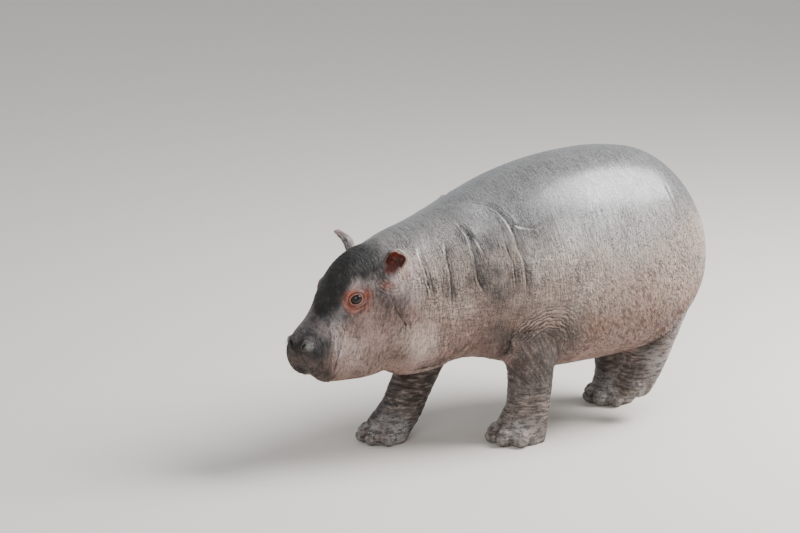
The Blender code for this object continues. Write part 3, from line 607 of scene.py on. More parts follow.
EYE_PLACE = (5.75, -0.85, -0.65)
EYE_GAZE = (0.78, 0.56, 0.28)
EYE_SINK = 0.10
EYE_RADIUS = 1.5
EYE_ROLL = 0.22
LID_HALF_WIDTH = 1.30
LID_HALF_HEIGHT = 1.02


def eye_axes(side):
    """The eyeball's centre, then unit vectors along its gaze, to its front corner and upward."""
    gaze = np.array(EYE_GAZE) / np.linalg.norm(EYE_GAZE)
    gaze = gaze * np.array([side, 1.0, 1.0])
    upward = np.array([0.0, EYE_ROLL, 1.0])
    upward -= gaze * (gaze @ upward)
    upward /= np.linalg.norm(upward)
    corner = np.cross(gaze, upward) * side
    centre = np.array([side * EYE_PLACE[0], EYE_PLACE[1], EYE_PLACE[2]]) - EYE_SINK * gaze
    return centre, gaze, corner, upward


def lidded(places):
    """Places moved to form the lids, and masks for their rims, their creases and the sore skin.

    Round each eye the hide dips inside the ball within the opening, an ellipse; it rests on the
    ball at its edge, stands up in a thin rim, and goes out in uneven soft rings and bags.
    """
    inside = np.stack(head_places(places), axis=-1)
    rim_mask, line_mask, sore_mask = (np.zeros(len(places)) for _ in range(3))
    uneven = noise(places, (0.011,) * 3, 41)
    for side in (1, -1):
        centre, gaze, corner, upward = eye_axes(side)
        offset = inside - centre
        out, fore, high = offset @ gaze, offset @ corner, offset @ upward
        reach = np.hypot(fore, high)
        near = (reach < 5.0) & (out > -1.6)
        turn = np.arctan2(high, fore)
        opening = 1.0 / np.sqrt((np.cos(turn) / LID_HALF_WIDTH) ** 2
                                + (np.sin(turn) / LID_HALF_HEIGHT) ** 2)
        beyond = reach - opening
        on_ball = np.sqrt(np.clip(EYE_RADIUS**2 - np.minimum(reach, 1.42) ** 2, 0.0, None))
        edge = np.sqrt(EYE_RADIUS**2 - opening**2)
        rim = edge + 0.08 + 0.12 * bell(beyond - 0.15, 0.12) - 0.20 * eased_step(0.2, 0.9, beyond)
        dipped = on_ball - 0.45
        target = dipped + (rim - dipped) * eased_step(-0.10, 0.06, beyond)
        hold = eased_step(1.35, 0.35, beyond)
        lower, upper = eased_step(0.3, -0.6, np.sin(turn)), eased_step(-0.3, 0.6, np.sin(turn))
        rings = beyond + 0.20 * uneven * eased_step(0.3, 0.9, beyond)
        gate = eased_step(-0.5, 0.3, uneven)
        lines = (1.1 * upper * bell(rings - 0.48, 0.12)
                 + 0.60 * (1 - upper) * bell(rings - 0.42, 0.10)
                 + 0.85 * lower * bell(rings - 1.08 - 0.12 * fore, 0.12)
                 + 0.60 * lower * gate * bell(rings - 1.80 + 0.15 * fore, 0.13)
                 + 0.35 * (1 - gate) * bell(rings - 1.45, 0.12)
                 + 0.45 * lower * eased_step(-0.4, 0.8, np.cos(turn)) * bell(rings - 0.95, 0.45))
        soft_rings = (0.07 * bell(rings - 0.75, 0.18) + 0.12 * lower * bell(rings - 1.45, 0.22)
                      + 0.08 * upper * bell(rings - 0.95, 0.24) - 0.15 * lines)
        moved = out * (1 - hold) + target * hold + soft_rings * eased_step(0.25, 0.45, beyond)
        inside[near] += (moved - out)[near, None] * gaze
        behind = 0.5 - 0.5 * np.cos(turn - math.radians(-35.0))
        sore = (eased_step(2.7, 0.7, beyond + 0.9 * uneven) * (0.22 + 0.78 * behind)
                + 0.5 * lower * bell(beyond - 1.3, 0.8))
        for mask, value in ((rim_mask, bell(beyond - 0.12, 0.12)),
                            (line_mask, np.clip(lines, 0, 1)),
                            (sore_mask, np.clip(sore, 0, 1))):
            mask[near] = np.maximum(mask[near], value[near])
    return HEAD_AT + inside @ HEAD_AXES * CM, rim_mask, line_mask, sore_mask


NOSTRIL = (2.15, 13.7, -6.3)
NOSTRIL_FLARE = (3.45, 13.1, -6.1)
NOSTRIL_DEPTH = 0.95
WING_HEIGHT = 0.42


def breathing(places):
    """Height of the nostrils, in centimetres, how deep in one a place lies, and the flared wing.

    Each is a slanting slit, longer than wide and bowed about its outer wing, sunk to a flat
    floor, with the flared wing outside it and a low rim within.
    """
    side, ahead, above = head_places(places)
    away = np.stack([np.abs(side) - NOSTRIL[0], ahead - NOSTRIL[1], above - NOSTRIL[2]])
    slant = np.array([0.55, -0.45, 0.70])
    slant /= np.linalg.norm(slant)
    inward = np.cross(slant, np.array([0.0, 0.80, 0.60]))
    inward /= np.linalg.norm(inward)
    lengthwise = np.tensordot(slant, away, axes=1)
    crosswise = np.tensordot(inward, away, axes=1)
    depthwise = np.linalg.norm(away - slant[:, None] * lengthwise
                               - inward[:, None] * crosswise, axis=0)
    bowed = crosswise + 0.28 * (lengthwise / 1.1) ** 2 - 0.12
    slit = np.sqrt((lengthwise / 1.05) ** 2 + (bowed / 0.36) ** 2 + (depthwise / 2.0) ** 2)
    flare = np.linalg.norm(np.stack([np.abs(side) - NOSTRIL_FLARE[0], ahead - NOSTRIL_FLARE[1],
                                     above - NOSTRIL_FLARE[2]]), axis=0)
    deep = eased_step(1.15, 0.55, slit)
    wing = bell(flare, 0.68) * (1 - deep)
    height = WING_HEIGHT * wing + 0.10 * bell(slit - 1.7, 0.5) - NOSTRIL_DEPTH * deep
    return height, deep, wing


EAR_HOLE_DEPTH = 1.25


def ear_hole(places):
    """How far each place in an ear's mouth, close to the head, is to be pushed back, and where.

    The push follows the inward direction of the mouth and fades toward the rims and the tip.
    """
    moves, depth_mask = np.zeros_like(places), np.zeros(len(places))
    for side in (1, -1):
        root, along, across, mouth, length = ear_axes(side)
        offset = (places - root) / CM
        t = offset @ along / (length / CM)
        half, depth, lean = ear_section(t)
        sideways, outward = offset @ across / half, (offset @ mouth - lean) / depth
        hole = (eased_step(0.95, 0.45, np.abs(sideways)) * eased_step(-0.10, 0.08, t)
                * eased_step(0.75, 0.50, t) * eased_step(1.6, 1.2, outward)
                * eased_step(-1.0, -0.5, outward))
        moves -= (EAR_HOLE_DEPTH * hole * eased_step(-0.9, 0.1, outward))[:, None] * mouth * CM
        depth_mask = np.maximum(depth_mask, hole)
    return moves, depth_mask


def refine(mesh, spots):
    """Faces near each (place, reach) cut into four, so that fine forms have vertices enough."""
    editing = bmesh.new()
    editing.from_mesh(mesh)
    for place, reach in spots:
        middle = Vector(place)
        edges = [edge for edge in editing.edges if (edge.verts[0].co - middle).length < reach]
        bmesh.ops.subdivide_edges(editing, edges=edges, cuts=1, use_grid_fill=True)
    bmesh.ops.triangulate(editing, faces=[face for face in editing.faces if len(face.verts) > 4])
    editing.to_mesh(mesh)
    editing.free()


def read_back(mesh):
    """The mesh's places and unit normals, as two arrays."""
    places, normals = np.empty(len(mesh.vertices) * 3), np.empty(len(mesh.vertices) * 3)
    mesh.vertices.foreach_get("co", places)
    mesh.vertex_normals.foreach_get("vector", normals)
    return places.reshape(-1, 3), normals.reshape(-1, 3)


def keep(mesh, name, values):
    """A value for each vertex, stored under a name for the material to read."""
    mesh.attributes.new(name, "FLOAT", "POINT").data.foreach_set("value", values.astype(np.float32))


def set_places(mesh, places):
    mesh.vertices.foreach_set("co", places.astype(np.float32).ravel())
    mesh.update()


HIDE_TRIANGLES = 190000
EAR_HOLE = (9.2, -12.1, 4.8)
# Places by the eyes, nostrils and ears, in the head, and how far round them all faces are kept
FINE_PLACES = (((6.3, -0.4, -0.3), 2.2), ((2.6, 13.4, -6.2), 1.8), (EAR_HOLE, 3.0))
LIFTED_TOE_SHARE = 0.35
for side in (1, -1):
    eye_at = in_head(side * 6.4, -0.5, -0.4)
    ear_at = in_head(side * EAR_HOLE[0], *EAR_HOLE[1:])
    nostril_at = in_head(side * NOSTRIL[0], *NOSTRIL[1:])
    refine(flesh, ((eye_at, 3.4 * CM), (eye_at, 2.6 * CM), (ear_at, 3.4 * CM),
                   (nostril_at, 1.9 * CM)))
places, normals = read_back(flesh)
raised = folded(places, normals)[0] + wrinkled(places) + breathing(places)[0]
places = lidded(places + normals * raised[:, None] * CM + ear_hole(places)[0])[0]
set_places(flesh, places)

editing = bmesh.new()
editing.from_mesh(flesh)
everything = editing.verts[:] + editing.edges[:] + editing.faces[:]
cut_line = bmesh.ops.bisect_plane(editing, geom=everything, plane_co=(0, 0, 0), plane_no=(0, 0, 1),
                                  clear_inner=True)["geom_cut"]
bmesh.ops.holes_fill(editing, edges=[part for part in cut_line
                                     if isinstance(part, bmesh.types.BMEdge)])
bmesh.ops.triangulate(editing, faces=editing.faces)
editing.to_mesh(flesh)
editing.free()

hide = placed("hide", flesh)
side, ahead, above = head_places(read_back(flesh)[0])
fine = np.zeros(len(side), dtype=bool)
for (at_side, at_ahead, at_above), reach in FINE_PLACES:
    fine |= (np.abs(side) - at_side)**2 + (ahead - at_ahead)**2 + (above - at_above)**2 < reach**2
hide.vertex_groups.new(name="plain").add(np.flatnonzero(~fine).tolist(), 1.0, "REPLACE")
thin = hide.modifiers.new("thin", "DECIMATE")
thin.ratio = min(1.0, HIDE_TRIANGLES / len(flesh.polygons))
thin.vertex_group = "plain"
bpy.context.view_layer.update()
hide.data = bpy.data.meshes.new_from_object(
    hide.evaluated_get(bpy.context.evaluated_depsgraph_get()))
hide.modifiers.clear()
hide.vertex_groups.clear()
hide.data.name = "hide"
hide.data.shade_smooth()

# What the hide is like at each place, painted shade and sheen among it, from 0 to 1, kept on
# its vertices for the material
HEAD_PATCHES = {
    "dusk": ((5.8, -9.4, 4.8, 3.2, 1.00), (7.6, -8.6, 2.6, 2.2, 0.85),
             (8.6, -10.6, 2.6, 1.5, 0.70)),
    "pale": ((3.4, 8.4, -4.0, 2.0, 0.30), (5.6, 6.9, -4.6, 1.9, 0.60), (6.7, 7.2, -7.4, 1.7, 0.90),
             (6.9, 7.2, -9.8, 1.8, 0.85), (5.7, -1.8, 2.9, 1.6, 0.95), (7.4, -5.2, 1.6, 1.6, 0.50),
             (10.4, -10.0, -0.9, 2.2, 0.95), (10.6, -13.8, 0.6, 3.2, 0.95),
             (7.2, 4.2, -11.0, 2.7, 0.70), (12.0, -12.5, -3.5, 2.8, 0.70)),
    # brownish painted shade behind and below the eye, on the cheek and under the jaw and lips
    "brown": ((8.3, -3.3, -3.7, 1.8, 0.80), (9.2, -5.7, -4.3, 2.4, 0.75),
              (8.2, 0.6, -5.8, 2.0, 0.60), (10.0, -4.6, -17.0, 3.4, 0.85),
              (10.5, -6.5, -6.5, 2.4, 0.60), (6.5, 6.0, -17.5, 3.4, 0.90),
              (5.5, 10.5, -15.0, 3.0, 0.80), (8.0, 2.5, -8.0, 2.4, 0.60),
              (7.6, 4.0, -5.6, 1.8, 0.55), (8.7, -1.6, -6.8, 2.2, 0.70),
              (7.6, 1.0, -16.0, 3.0, 0.45)),
    "flush": ((7.3, -2.6, -0.3, 1.4, 1.00), (7.7, -1.2, -2.4, 1.3, 0.70),
              (8.7, -7.6, -0.1, 1.0, 0.85), (9.9, -12.2, 0.9, 1.3, 0.75),
              (9.5, -8.8, -0.8, 0.9, 0.60)),
}
EAR_LIP = ((9.6, -11.2, 0.9, 0.9, 0.95),)
BODY_PATCHES = {
    # darker grey neck and shoulder skin, with painted shade between and behind the neck folds
    "grey_and_shade": ((12.2, 13.5, 49.0, 4.2, 0.75), (12.4, 15.5, 43.0, 3.8, 0.75),
              (1.0, 15.0, 54.5, 6.0, 0.45), (11.0, 16.0, 38.0, 4.2, 0.70),
              (12.0, 14.5, 29.5, 6.5, 0.62), (6.5, 17.0, 33.0, 4.0, 0.40),
              (22.5, 13.5, 40.0, 2.6, 0.50), (21.0, 11.5, 48.5, 3.5, 0.45),
              (-6.5, 18.8, 33.0, 3.6, 0.45), (16.4, 11.8, 50.6, 2.6, 0.90),
              (15.2, 14.6, 46.0, 5.0, 0.70), (13.5, 15.8, 42.0, 5.2, 0.60)),
    "bright": ((-10.5, 19.3, 37.0, 5.5, 0.90), (-6.0, 18.6, 43.0, 4.5, 0.60),
               (29.0, 12.2, 28.5, 4.5, 1.00), (-48.0, 14.5, 43.0, 6.5, 0.60),
               (-38.0, 18.5, 34.0, 6.5, 0.50), (20.5, 14.0, 36.0, 4.0, 0.45)),
    "shaded": ((-30.8, 12.0, 18.5, 3.8, 1.00), (-31.5, 12.0, 13.0, 3.2, 0.95),
               (-35.5, 14.0, 22.0, 2.4, 0.60), (3.0, 14.5, 20.5, 4.5, 0.60),
               (-1.0, 16.5, 21.0, 4.0, 0.45), (-1.0, 14.0, 10.0, 3.0, 0.25)),
    # painted sheen: paler grey where the damp upper back and shoulders catch the overhead light
    "upper_sheen": ((-18.0, 16.5, 52.0, 8.0, 1.00), (-30.0, 15.0, 52.0, 9.0, 0.80),
               (-24.0, 19.0, 46.0, 7.0, 0.80), (-9.5, 17.0, 49.5, 5.5, 0.95),
               (10.0, 8.5, 57.0, 3.5, 0.60), (14.0, 11.5, 52.0, 3.0, 0.50),
               (1.0, 17.0, 44.0, 4.0, 0.55)),
    # painted sheen on the hocks and on the tops of the feet
    "hock_and_foot_sheen": ((-43.5, 14.0, 22.0, 4.6, 1.00), (-42.0, 13.0, 17.0, 3.4, 0.95),
             (-38.5, 12.8, 15.0, 3.0, 0.85), (0.5, 14.0, 2.4, 2.6, 0.50),
             (3.2, 12.0, 3.6, 2.2, 0.45), (25.0, -5.0, 3.0, 4.0, 0.90),
             (-39.0, -3.5, 4.5, 3.6, 0.90)),
}
DARK_HALF_WIDTH = ((-18.0, -6.0), (-15.0, -1.0), (-12.0, 3.2), (-9.0, 5.0), (-6.0, 5.2),
                   (-3.0, 4.9), (0.0, 4.1), (3.0, 4.4), (5.0, 3.0), (7.0, 1.0), (8.5, -2.5))

places, normals = read_back(hide.data)
forward, left, up = body_places(places)
side, ahead, above = head_places(places)
aside = np.abs(side)
blotch = noise(places, (0.035,) * 3, 21)
fine_blotch = noise(places, (0.014,) * 3, 22)
large_blotch = noise(places, (0.09,) * 3, 23)
on_head = of_head(ahead + 1.5 * blotch, above)
_, crease, beside_fold, fold_presence = folded(places, normals)
_, rim_mask, line_mask, sore_mask = lidded(places)
_, nostril_deep, nostril_wing = breathing(places)
beside_tail, past_edge = tail_sides(places)


def patched(rows, first, second, third):
    """The strongest at each place of several soft round patches, their edges made uneven."""
    total = np.zeros(len(places))
    for x, y, z, radius, amount in rows:
        away = np.sqrt((first - x)**2 + (second - y)**2 + (third - z)**2)
        away = away * (1.0 + 0.22 * fine_blotch + 0.15 * blotch)
        total = np.maximum(total, amount * bell(away, radius))
    return total


head_tone = {name: patched(rows, aside, ahead, above) for name, rows in HEAD_PATCHES.items()}
grey_and_shade = patched(BODY_PATCHES["grey_and_shade"], forward, np.abs(left), up)
lip_edge = np.interp(above, (-17.0, -15.6, -14.6, -11.8, -10.1, -8.7, -6.0, -3.9),
                     (11.6, 10.8, 10.2, 10.4, 9.8, 8.3, 6.9, 5.6))
muzzle = (eased_step(-0.5, 3.0, ahead - lip_edge + 0.5 * blotch) * eased_step(-18.0, -16.6, above)
          * eased_step(-4.6, -7.0, above))
half_width = np.interp(ahead, *zip(*DARK_HALF_WIDTH))
crown = eased_step(half_width + 1.5, half_width - 0.9, aside + 0.8 * blotch + 0.5 * fine_blotch) * (
    eased_step(-9.0, -6.5, above))
throat = eased_step(8.0, 20.0, forward) * eased_step(38.0, 27.0, up + 2.0 * large_blotch) * (
    eased_step(17.0, 24.0, up))
belly = eased_step(31.0, 20.0, up + 2.0 * large_blotch) * eased_step(-0.1, -0.75, normals[:, 2]) * (
    eased_step(14.0, 19.0, up))
leg = eased_step(24.0, 15.0, up + 2.0 * blotch + 1.5 * large_blotch) * (1 - on_head) * (1 - throat)

ear_inside, ear_back, ear_rim, ear_glow, ear_fore_shade = (np.zeros(len(places)) for _ in range(5))
for turned in (1, -1):
    root, along, across, mouth, length = ear_axes(turned)
    offset = (places - root) / CM
    lengthwise = offset @ along / (length / CM)
    half, depth, lean = ear_section(lengthwise)
    sideways, outward = offset @ across / half, (offset @ mouth - lean) / depth
    radius = np.hypot(sideways, outward)
    near_ear = eased_step(-0.20, -0.08, lengthwise) * eased_step(1.2, 1.05, lengthwise)
    inside = near_ear * eased_step(1.02, 0.90, radius) * eased_step(0.35, 0.0, outward)
    ear_inside = np.maximum(ear_inside, inside)
    ear_glow = np.maximum(ear_glow, near_ear * bell(lengthwise - 0.60, 0.24)
                          * bell(sideways * turned + 0.25, 0.50))
    ear_rim = np.maximum(ear_rim, near_ear * bell(radius - 1.05, 0.16)
                         * eased_step(-0.5, 0.0, outward))
    # painted shade along the front edge of each ear
    fore_edge = (near_ear * eased_step(-0.50, -0.95, sideways * turned)
                 * eased_step(0.95, 0.70, lengthwise))
    ear_fore_shade = np.maximum(ear_fore_shade, fore_edge * (1 - inside) * eased_step(1.9, 1.5, radius))
    ear_back = np.maximum(ear_back, near_ear * eased_step(1.7, 1.3, radius) * (1 - inside))

# the deep hollow of each ear's mouth counts as its inside, so it takes the dark colour as painted
# shade
ear_inside = np.maximum(ear_inside, ear_hole(places)[1])
toe_gap, toe_skin = np.zeros(len(places)), np.zeros(len(places))
for leg_name in FEET:
    nearest, second = np.full(len(places), FAR), np.full(len(places), FAR)
    for foot, outward, sideways, upright, spread in toe_frames(leg_name):
        away = (places - foot - (TOE_REACH * spread * outward + TOE_HEIGHT * upright) * CM) / CM
        away = np.linalg.norm(np.stack([
            away @ outward / TOE_RADII[1], away @ sideways / TOE_RADII[0],
            away @ upright / TOE_RADII[2]]), axis=0)
        second = np.minimum(second, np.maximum(nearest, away))
        nearest = np.minimum(nearest, away)
    toe_gap = np.maximum(toe_gap, eased_step(0.34, 0.05, second - nearest)
                         * eased_step(1.9, 1.3, nearest))
    share = LIFTED_TOE_SHARE if leg_name == "leg_hind_left" else 1.0
    toe_skin = np.maximum(toe_skin, eased_step(1.35, 1.05, nearest) * share)

elbow = np.hypot(forward - ELBOW[0], up - ELBOW[1])
on_front_leg = eased_step(-13.0, -8.0, forward) * eased_step(13.0, 8.0, forward) * (1 - on_head)
kept = {
    "leg": leg,
    "toe": toe_skin,
    "elbow": elbow,
    "elbow_arcs": (on_front_leg * eased_step(3.0, 4.6, elbow) * eased_step(11.5, 8.0, elbow)
                   * elbow_side(forward, up)),
    "upper_leg": (on_front_leg * eased_step(30.0, 26.0, up)
                  * eased_step(9.5, 18.5, up + 2.5 * blotch)),
    "shaded": eased_step(27.0, 21.0, up) * (1 - on_head) * np.maximum(
        patched(BODY_PATCHES["shaded"], forward, left, up),
        0.75 * eased_step(-2.0, -5.0, left) * eased_step(1.0, 7.0, up) * leg),
    "bright": patched(BODY_PATCHES["bright"], forward, np.abs(left), up),
    "pink": np.clip(np.maximum.reduce([
        on_head * (0.85 + 0.2 * blotch), 0.8 * throat, belly]), 0, 1),
    "dark": np.clip(np.maximum(crown, 0.82 * muzzle), 0, 1),
    "dusk": head_tone["dusk"],
    "pale": head_tone["pale"],
    "brown": head_tone["brown"],
    "flush": np.clip(np.maximum(sore_mask, head_tone["flush"]), 0, 1),
    "sore_line": line_mask,
    "rim": rim_mask,
    "ear": ear_inside,
    "ear_back": ear_back,
    "ear_glow": ear_glow * ear_inside,
    "ear_fore_shade": ear_fore_shade,
    "ear_lip": patched(EAR_LIP, aside, ahead, above),
    "ear_rim": ear_rim,
    # painted shade in the folds' grooves, in the nostrils, in the groove beside the tail and
    # between the toes
    "crease": np.maximum.reduce([crease, nostril_deep,
                                 0.8 * beside_tail * bell(past_edge - 0.45, 0.40),
                                 0.8 * toe_gap * eased_step(0.2, 1.2, up)]),
    "low": eased_step(50.0, 27.0, up + 2.5 * large_blotch + 1.0 * blotch),
    "back": eased_step(44.0, 56.0, up + 1.5 * large_blotch) * (1 - on_head),
    "grey_and_shade": grey_and_shade,
    "upper_sheen": patched(BODY_PATCHES["upper_sheen"], forward, np.abs(left), up),
    "beside_fold": beside_fold,
    "fold": fold_presence,
    "under": (eased_step(33.0, 23.0, up + large_blotch) * eased_step(8.0, 2.0, forward) * (1 - leg)
              * (1 - on_head)),
    "hatch": (eased_step(49.0, 41.0, up + blotch)
              * eased_step(-19.0, -7.0, forward + 2 * large_blotch) * (1 - leg) * (1 - on_head)),
    "pebble": (eased_step(44.0, 33.0, up + 1.5 * blotch - 0.25 * np.clip(-forward - 20.0, 0, 20))
               * eased_step(-2.0, -12.0, forward + 2 * large_blotch) * (1 - leg)),
    "head": on_head,
    "head_top": on_head * np.maximum(
        eased_step(0.15, 0.50, normals @ HEAD_ABOVE + 0.12 * blotch),
        eased_step(7.5, 9.5, ahead) * eased_step(-9.0, -7.0, above + 0.5 * blotch)),
    "nostril": nostril_deep,
    "wing": nostril_wing,
    "hock_and_foot_sheen": patched(BODY_PATCHES["hock_and_foot_sheen"], forward, left, up),
    "nape": (eased_step(-9.0, -13.0, ahead) * eased_step(2.5, 5.0, above)
             * eased_step(22.0, 28.0, forward)),
}
for name, values in kept.items():
    keep(hide.data, name, values)


class Shade:
    """A socket of a material's tree. Sums, products and powers of it add Math nodes."""

    def __init__(self, tree, socket):
        self.tree, self.socket = tree, socket

    @classmethod
    def node(cls, tree, kind, settings=(), inputs=(), output=0):
        """A new node: its settings, then the values or links of its sockets, then its output."""
        made = tree.nodes.new("ShaderNode" + kind)
        for name, value in dict(settings).items():
            setattr(made, name, value)
        for key, value in dict(inputs).items():
            if isinstance(value, Shade):
                tree.links.new(value.socket, made.inputs[key])
            else:
                made.inputs[key].default_value = value
        return cls(tree, made.outputs[output])

    def maths(self, operation, *values, clamped=False):
        return Shade.node(self.tree, "Math", {"operation": operation, "use_clamp": clamped},
                          dict(enumerate(values)))

    def __add__(self, other):
        return self.maths("ADD", self, other)

    def __sub__(self, other):
        return self.maths("SUBTRACT", self, other)

    def __mul__(self, other):
        return self.maths("MULTIPLY", self, other)

    def __rsub__(self, other):
        return self.maths("SUBTRACT", other, self)

    def __pow__(self, other):
        return self.maths("POWER", self, other)

    def __abs__(self):
        return self.maths("ABSOLUTE", self)

    __radd__ = __add__
    __rmul__ = __mul__

    def clamped(self):
        return self.maths("ADD", self, 0.0, clamped=True)

    def rise(self, low, high):
        """0 below low and 1 above high, smoothly; falling where low is above high."""
        start, end, first, last = (low, high, 0.0, 1.0) if low < high else (high, low, 1.0, 0.0)
        return Shade.node(self.tree, "MapRange", {"interpolation_type": "SMOOTHSTEP"},
                          {0: self, 1: start, 2: end, 3: first, 4: last})

    def scaled(self, factors):
        """The vector times three factors."""
        return Shade.node(self.tree, "VectorMath", {"operation": "MULTIPLY"}, {0: self, 1: factors})

    def tinted(self, over, mask, blend="MIX"):
        """The colour with another laid over it by a mask."""
        return Shade.node(self.tree, "Mix", {"data_type": "RGBA", "blend_type": blend},
                          {0: mask, 6: self, 7: over}, 2)


def finish(name, roughness, specular):
    """A new material, its tree and its shader, with the values that are the same all over."""
    made = bpy.data.materials.new(name)
    made.use_nodes = True
    shader = made.node_tree.nodes["Principled BSDF"]
    shader.inputs["Roughness"].default_value = roughness
    shader.inputs["Specular IOR Level"].default_value = specular
    return made, made.node_tree, shader


def colour(red, green, blue):
    return (red, green, blue, 1.0)


HIDE_BACK = colour(0.168, 0.168, 0.168)
HIDE_FLANK = colour(0.430, 0.358, 0.312)
HIDE_LOW = colour(0.350, 0.215, 0.162)
HIDE_UNDER = colour(0.225, 0.105, 0.074)
# painted glint of wet light
HIDE_WING_GLINT = colour(0.800, 0.780, 0.770)
HIDE_PINK = colour(0.345, 0.214, 0.182)
HIDE_TOE = colour(0.430, 0.410, 0.390)
HIDE_LEG = colour(0.155, 0.130, 0.120)
HIDE_SHADED = colour(0.060, 0.043, 0.038)
HIDE_BRIGHT = colour(0.740, 0.610, 0.530)
HIDE_DARK = colour(0.010, 0.0115, 0.011)
HIDE_HEAD_TOP = colour(0.062, 0.063, 0.066)
# painted sheen, laid on the upper back and shoulders and on the hocks and feet
HIDE_PAINTED_SHEEN = colour(0.560, 0.560, 0.560)
# dark grey, for the neck's darker skin and for painted shade beside the folds
HIDE_GREY_AND_SHADE = colour(0.028, 0.027, 0.029)
HIDE_PALE = colour(0.670, 0.540, 0.505)
# brownish painted shade
HIDE_BROWN_SHADE = colour(0.130, 0.072, 0.055)
HIDE_FLUSH = colour(0.400, 0.092, 0.040)
HIDE_SORE_LINE = colour(0.085, 0.012, 0.009)
HIDE_RIM = colour(0.480, 0.250, 0.195)
# the ear's dark red inner skin, darkened toward black as painted shade in the cup
HIDE_EAR = colour(0.070, 0.0075, 0.0040)
HIDE_EAR_GLOW = colour(0.260, 0.036, 0.014)
# painted highlight for the tops of ridges
HIDE_RIDGE_HIGHLIGHT = colour(0.560, 0.460, 0.400)
# painted shade
HIDE_NOSTRIL_SHADE = colour(0.006, 0.004, 0.004)
HIDE_EAR_BACK = colour(0.480, 0.360, 0.320)
HIDE_EAR_RIM = colour(0.500, 0.290, 0.210)
HIDE_PORE = colour(0.035, 0.028, 0.026)
# painted shade for grooves and creases
HIDE_CREASE_SHADE = colour(0.020, 0.014, 0.012)
HIDE_CLOUDS = colour(0.62, 0.60, 0.58)

hide_finish, tree, shader = finish("hide_damp_skin", 0.5, 0.24)
shader.inputs["Coat Roughness"].default_value = 0.28


def kept_value(name):
    return Shade.node(tree, "Attribute", {"attribute_name": name}, (), 2)


def mottled_value(name, level, contrast, middle=0.5):
    """A kept value broken up by the mottling: its level, and how strongly it varies."""
    return (kept_value(name) * (level + contrast * (mottled - middle))).clamped()


def flat(value):
    """A colour that is the same all over, to lay others on."""
    made = Shade.node(tree, "RGB")
    made.socket.default_value = value
    return made


def speckle(place, scale, detail=2.0, rough=0.5):
    return Shade.node(tree, "TexNoise", (), {"Vector": place, "Scale": scale, "Detail": detail,
                                              "Roughness": rough})


def lines_in(place, factors, width, detail=2.0):
    """1 along the lines where a noise stretched by the factors crosses its middle value."""
    return abs(speckle(place.scaled(factors), 1.0, detail, 0.6) - 0.5).rise(width, 0.0)


def slanted(place, degrees):
    """The place turned about the left-right axis, so that stretched patterns lie aslant."""
    return Shade.node(tree, "VectorRotate", {"rotation_type": "X_AXIS"},
                      {"Vector": place, "Angle": math.radians(degrees)})


def cells(place, factors, scale, feature="F1"):
    return Shade.node(tree, "TexVoronoi", {"feature": feature},
                      {"Vector": place.scaled(factors), "Scale": scale, "Randomness": 1.0})


place = Shade.node(tree, "TexCoord", (), (), 3)
leg_mask, dark_mask = kept_value("leg"), kept_value("dark")
rim_mask_shade, ear_mask, crease_mask = kept_value("rim"), kept_value("ear"), kept_value("crease")
low_mask, back_mask, head_mask = kept_value("low"), kept_value("back"), kept_value("head")
hatch_mask, pebble_mask = kept_value("hatch"), kept_value("pebble")
body_mask = (1 - head_mask) * (1 - leg_mask)

broad = speckle(place, 7.0, 3.0)
patchy = speckle(place, 18.0, 2.0)
mottled = speckle(place, 36.0, 4.0, 0.65)
lively = patchy.rise(0.38, 0.60)
upright_lines = lines_in(place, (9.0, 75.0, 10.0), 0.045, 3.0) * lively
slant_lines = lines_in(slanted(place, -28.0), (20.0, 110.0, 22.0), 0.045) * (1.2 - lively)
fine_upright = lines_in(place, (30.0, 185.0, 26.0), 0.08)
fine_level = lines_in(place, (60.0, 26.0, 190.0), 0.08)
leg_sags = speckle(place.scaled((36.0, 36.0, 150.0)), 1.0, 2.5, 0.60)
leg_slants = speckle(slanted(place, -33.0).scaled((42.0, 150.0, 42.0)), 1.0, 2.5, 0.60)
leg_cells = cells(place, (1.0, 1.0, 1.6), 190.0, "DISTANCE_TO_EDGE").rise(0.16, 0.0)
pebbles = cells(slanted(place, -26.0), (1.0, 1.35, 0.50), 125.0, "DISTANCE_TO_EDGE")
strokes = speckle(slanted(place, -42.0).scaled((70.0, 135.0, 70.0)), 1.0, 1.0, 0.5)
head_strokes = speckle(slanted(place, 14.0).scaled((55.0, 190.0, 60.0)), 1.0, 2.0, 0.55)
pebble_edges = 0.45 * pebbles.rise(0.20, 0.02) + 0.80 * strokes.rise(0.45, 0.34)
pebble_tops = (0.40 * pebbles.rise(0.16, 0.42) + 0.80 * strokes.rise(0.50, 0.64)).clamped()
pores = (cells(place, (1.0, 1.2, 0.8), 125.0).rise(0.26, 0.12)
         * speckle(place, 60.0).rise(0.36, 0.50))
waver = speckle(place, 48.0, 3.0) - 0.5
across_fold = kept_value("beside_fold") + 2.6 * waver
beside = Shade.node(tree, "Math", {"operation": "COSINE"}, {0: across_fold * 2.6})
# painted shade along each fold's groove and along the finer grooves beside it
fold_groove_shade = (kept_value("fold") * (1 - 0.35 * head_mask)
            * (abs(across_fold - 0.15).rise(0.85, 0.10) * (0.75 + 1.2 * waver)
               + 0.65 * beside.rise(0.62, 0.96) * abs(across_fold).rise(6.0, 1.5)
               * patchy.rise(0.35, 0.60))).clamped()
elbow_wave = Shade.node(tree, "Math", {"operation": "COSINE"},
                        {0: kept_value("elbow") * 7.0 + 17.0 * waver})
elbow_wave = elbow_wave * (0.35 + 0.65 * mottled.rise(0.40, 0.58))
dashes = (cells(place, (1.0, 1.5, 0.55), 150.0).rise(0.28, 0.10)
          * speckle(place, 38.0).rise(0.40, 0.55))
crown_lines = lines_in(place, (26.0, 150.0, 60.0), 0.07, 3.0)
arc_mask, upper_leg = kept_value("elbow_arcs"), kept_value("upper_leg")
plain = (1 - arc_mask) * (1 - upper_leg)

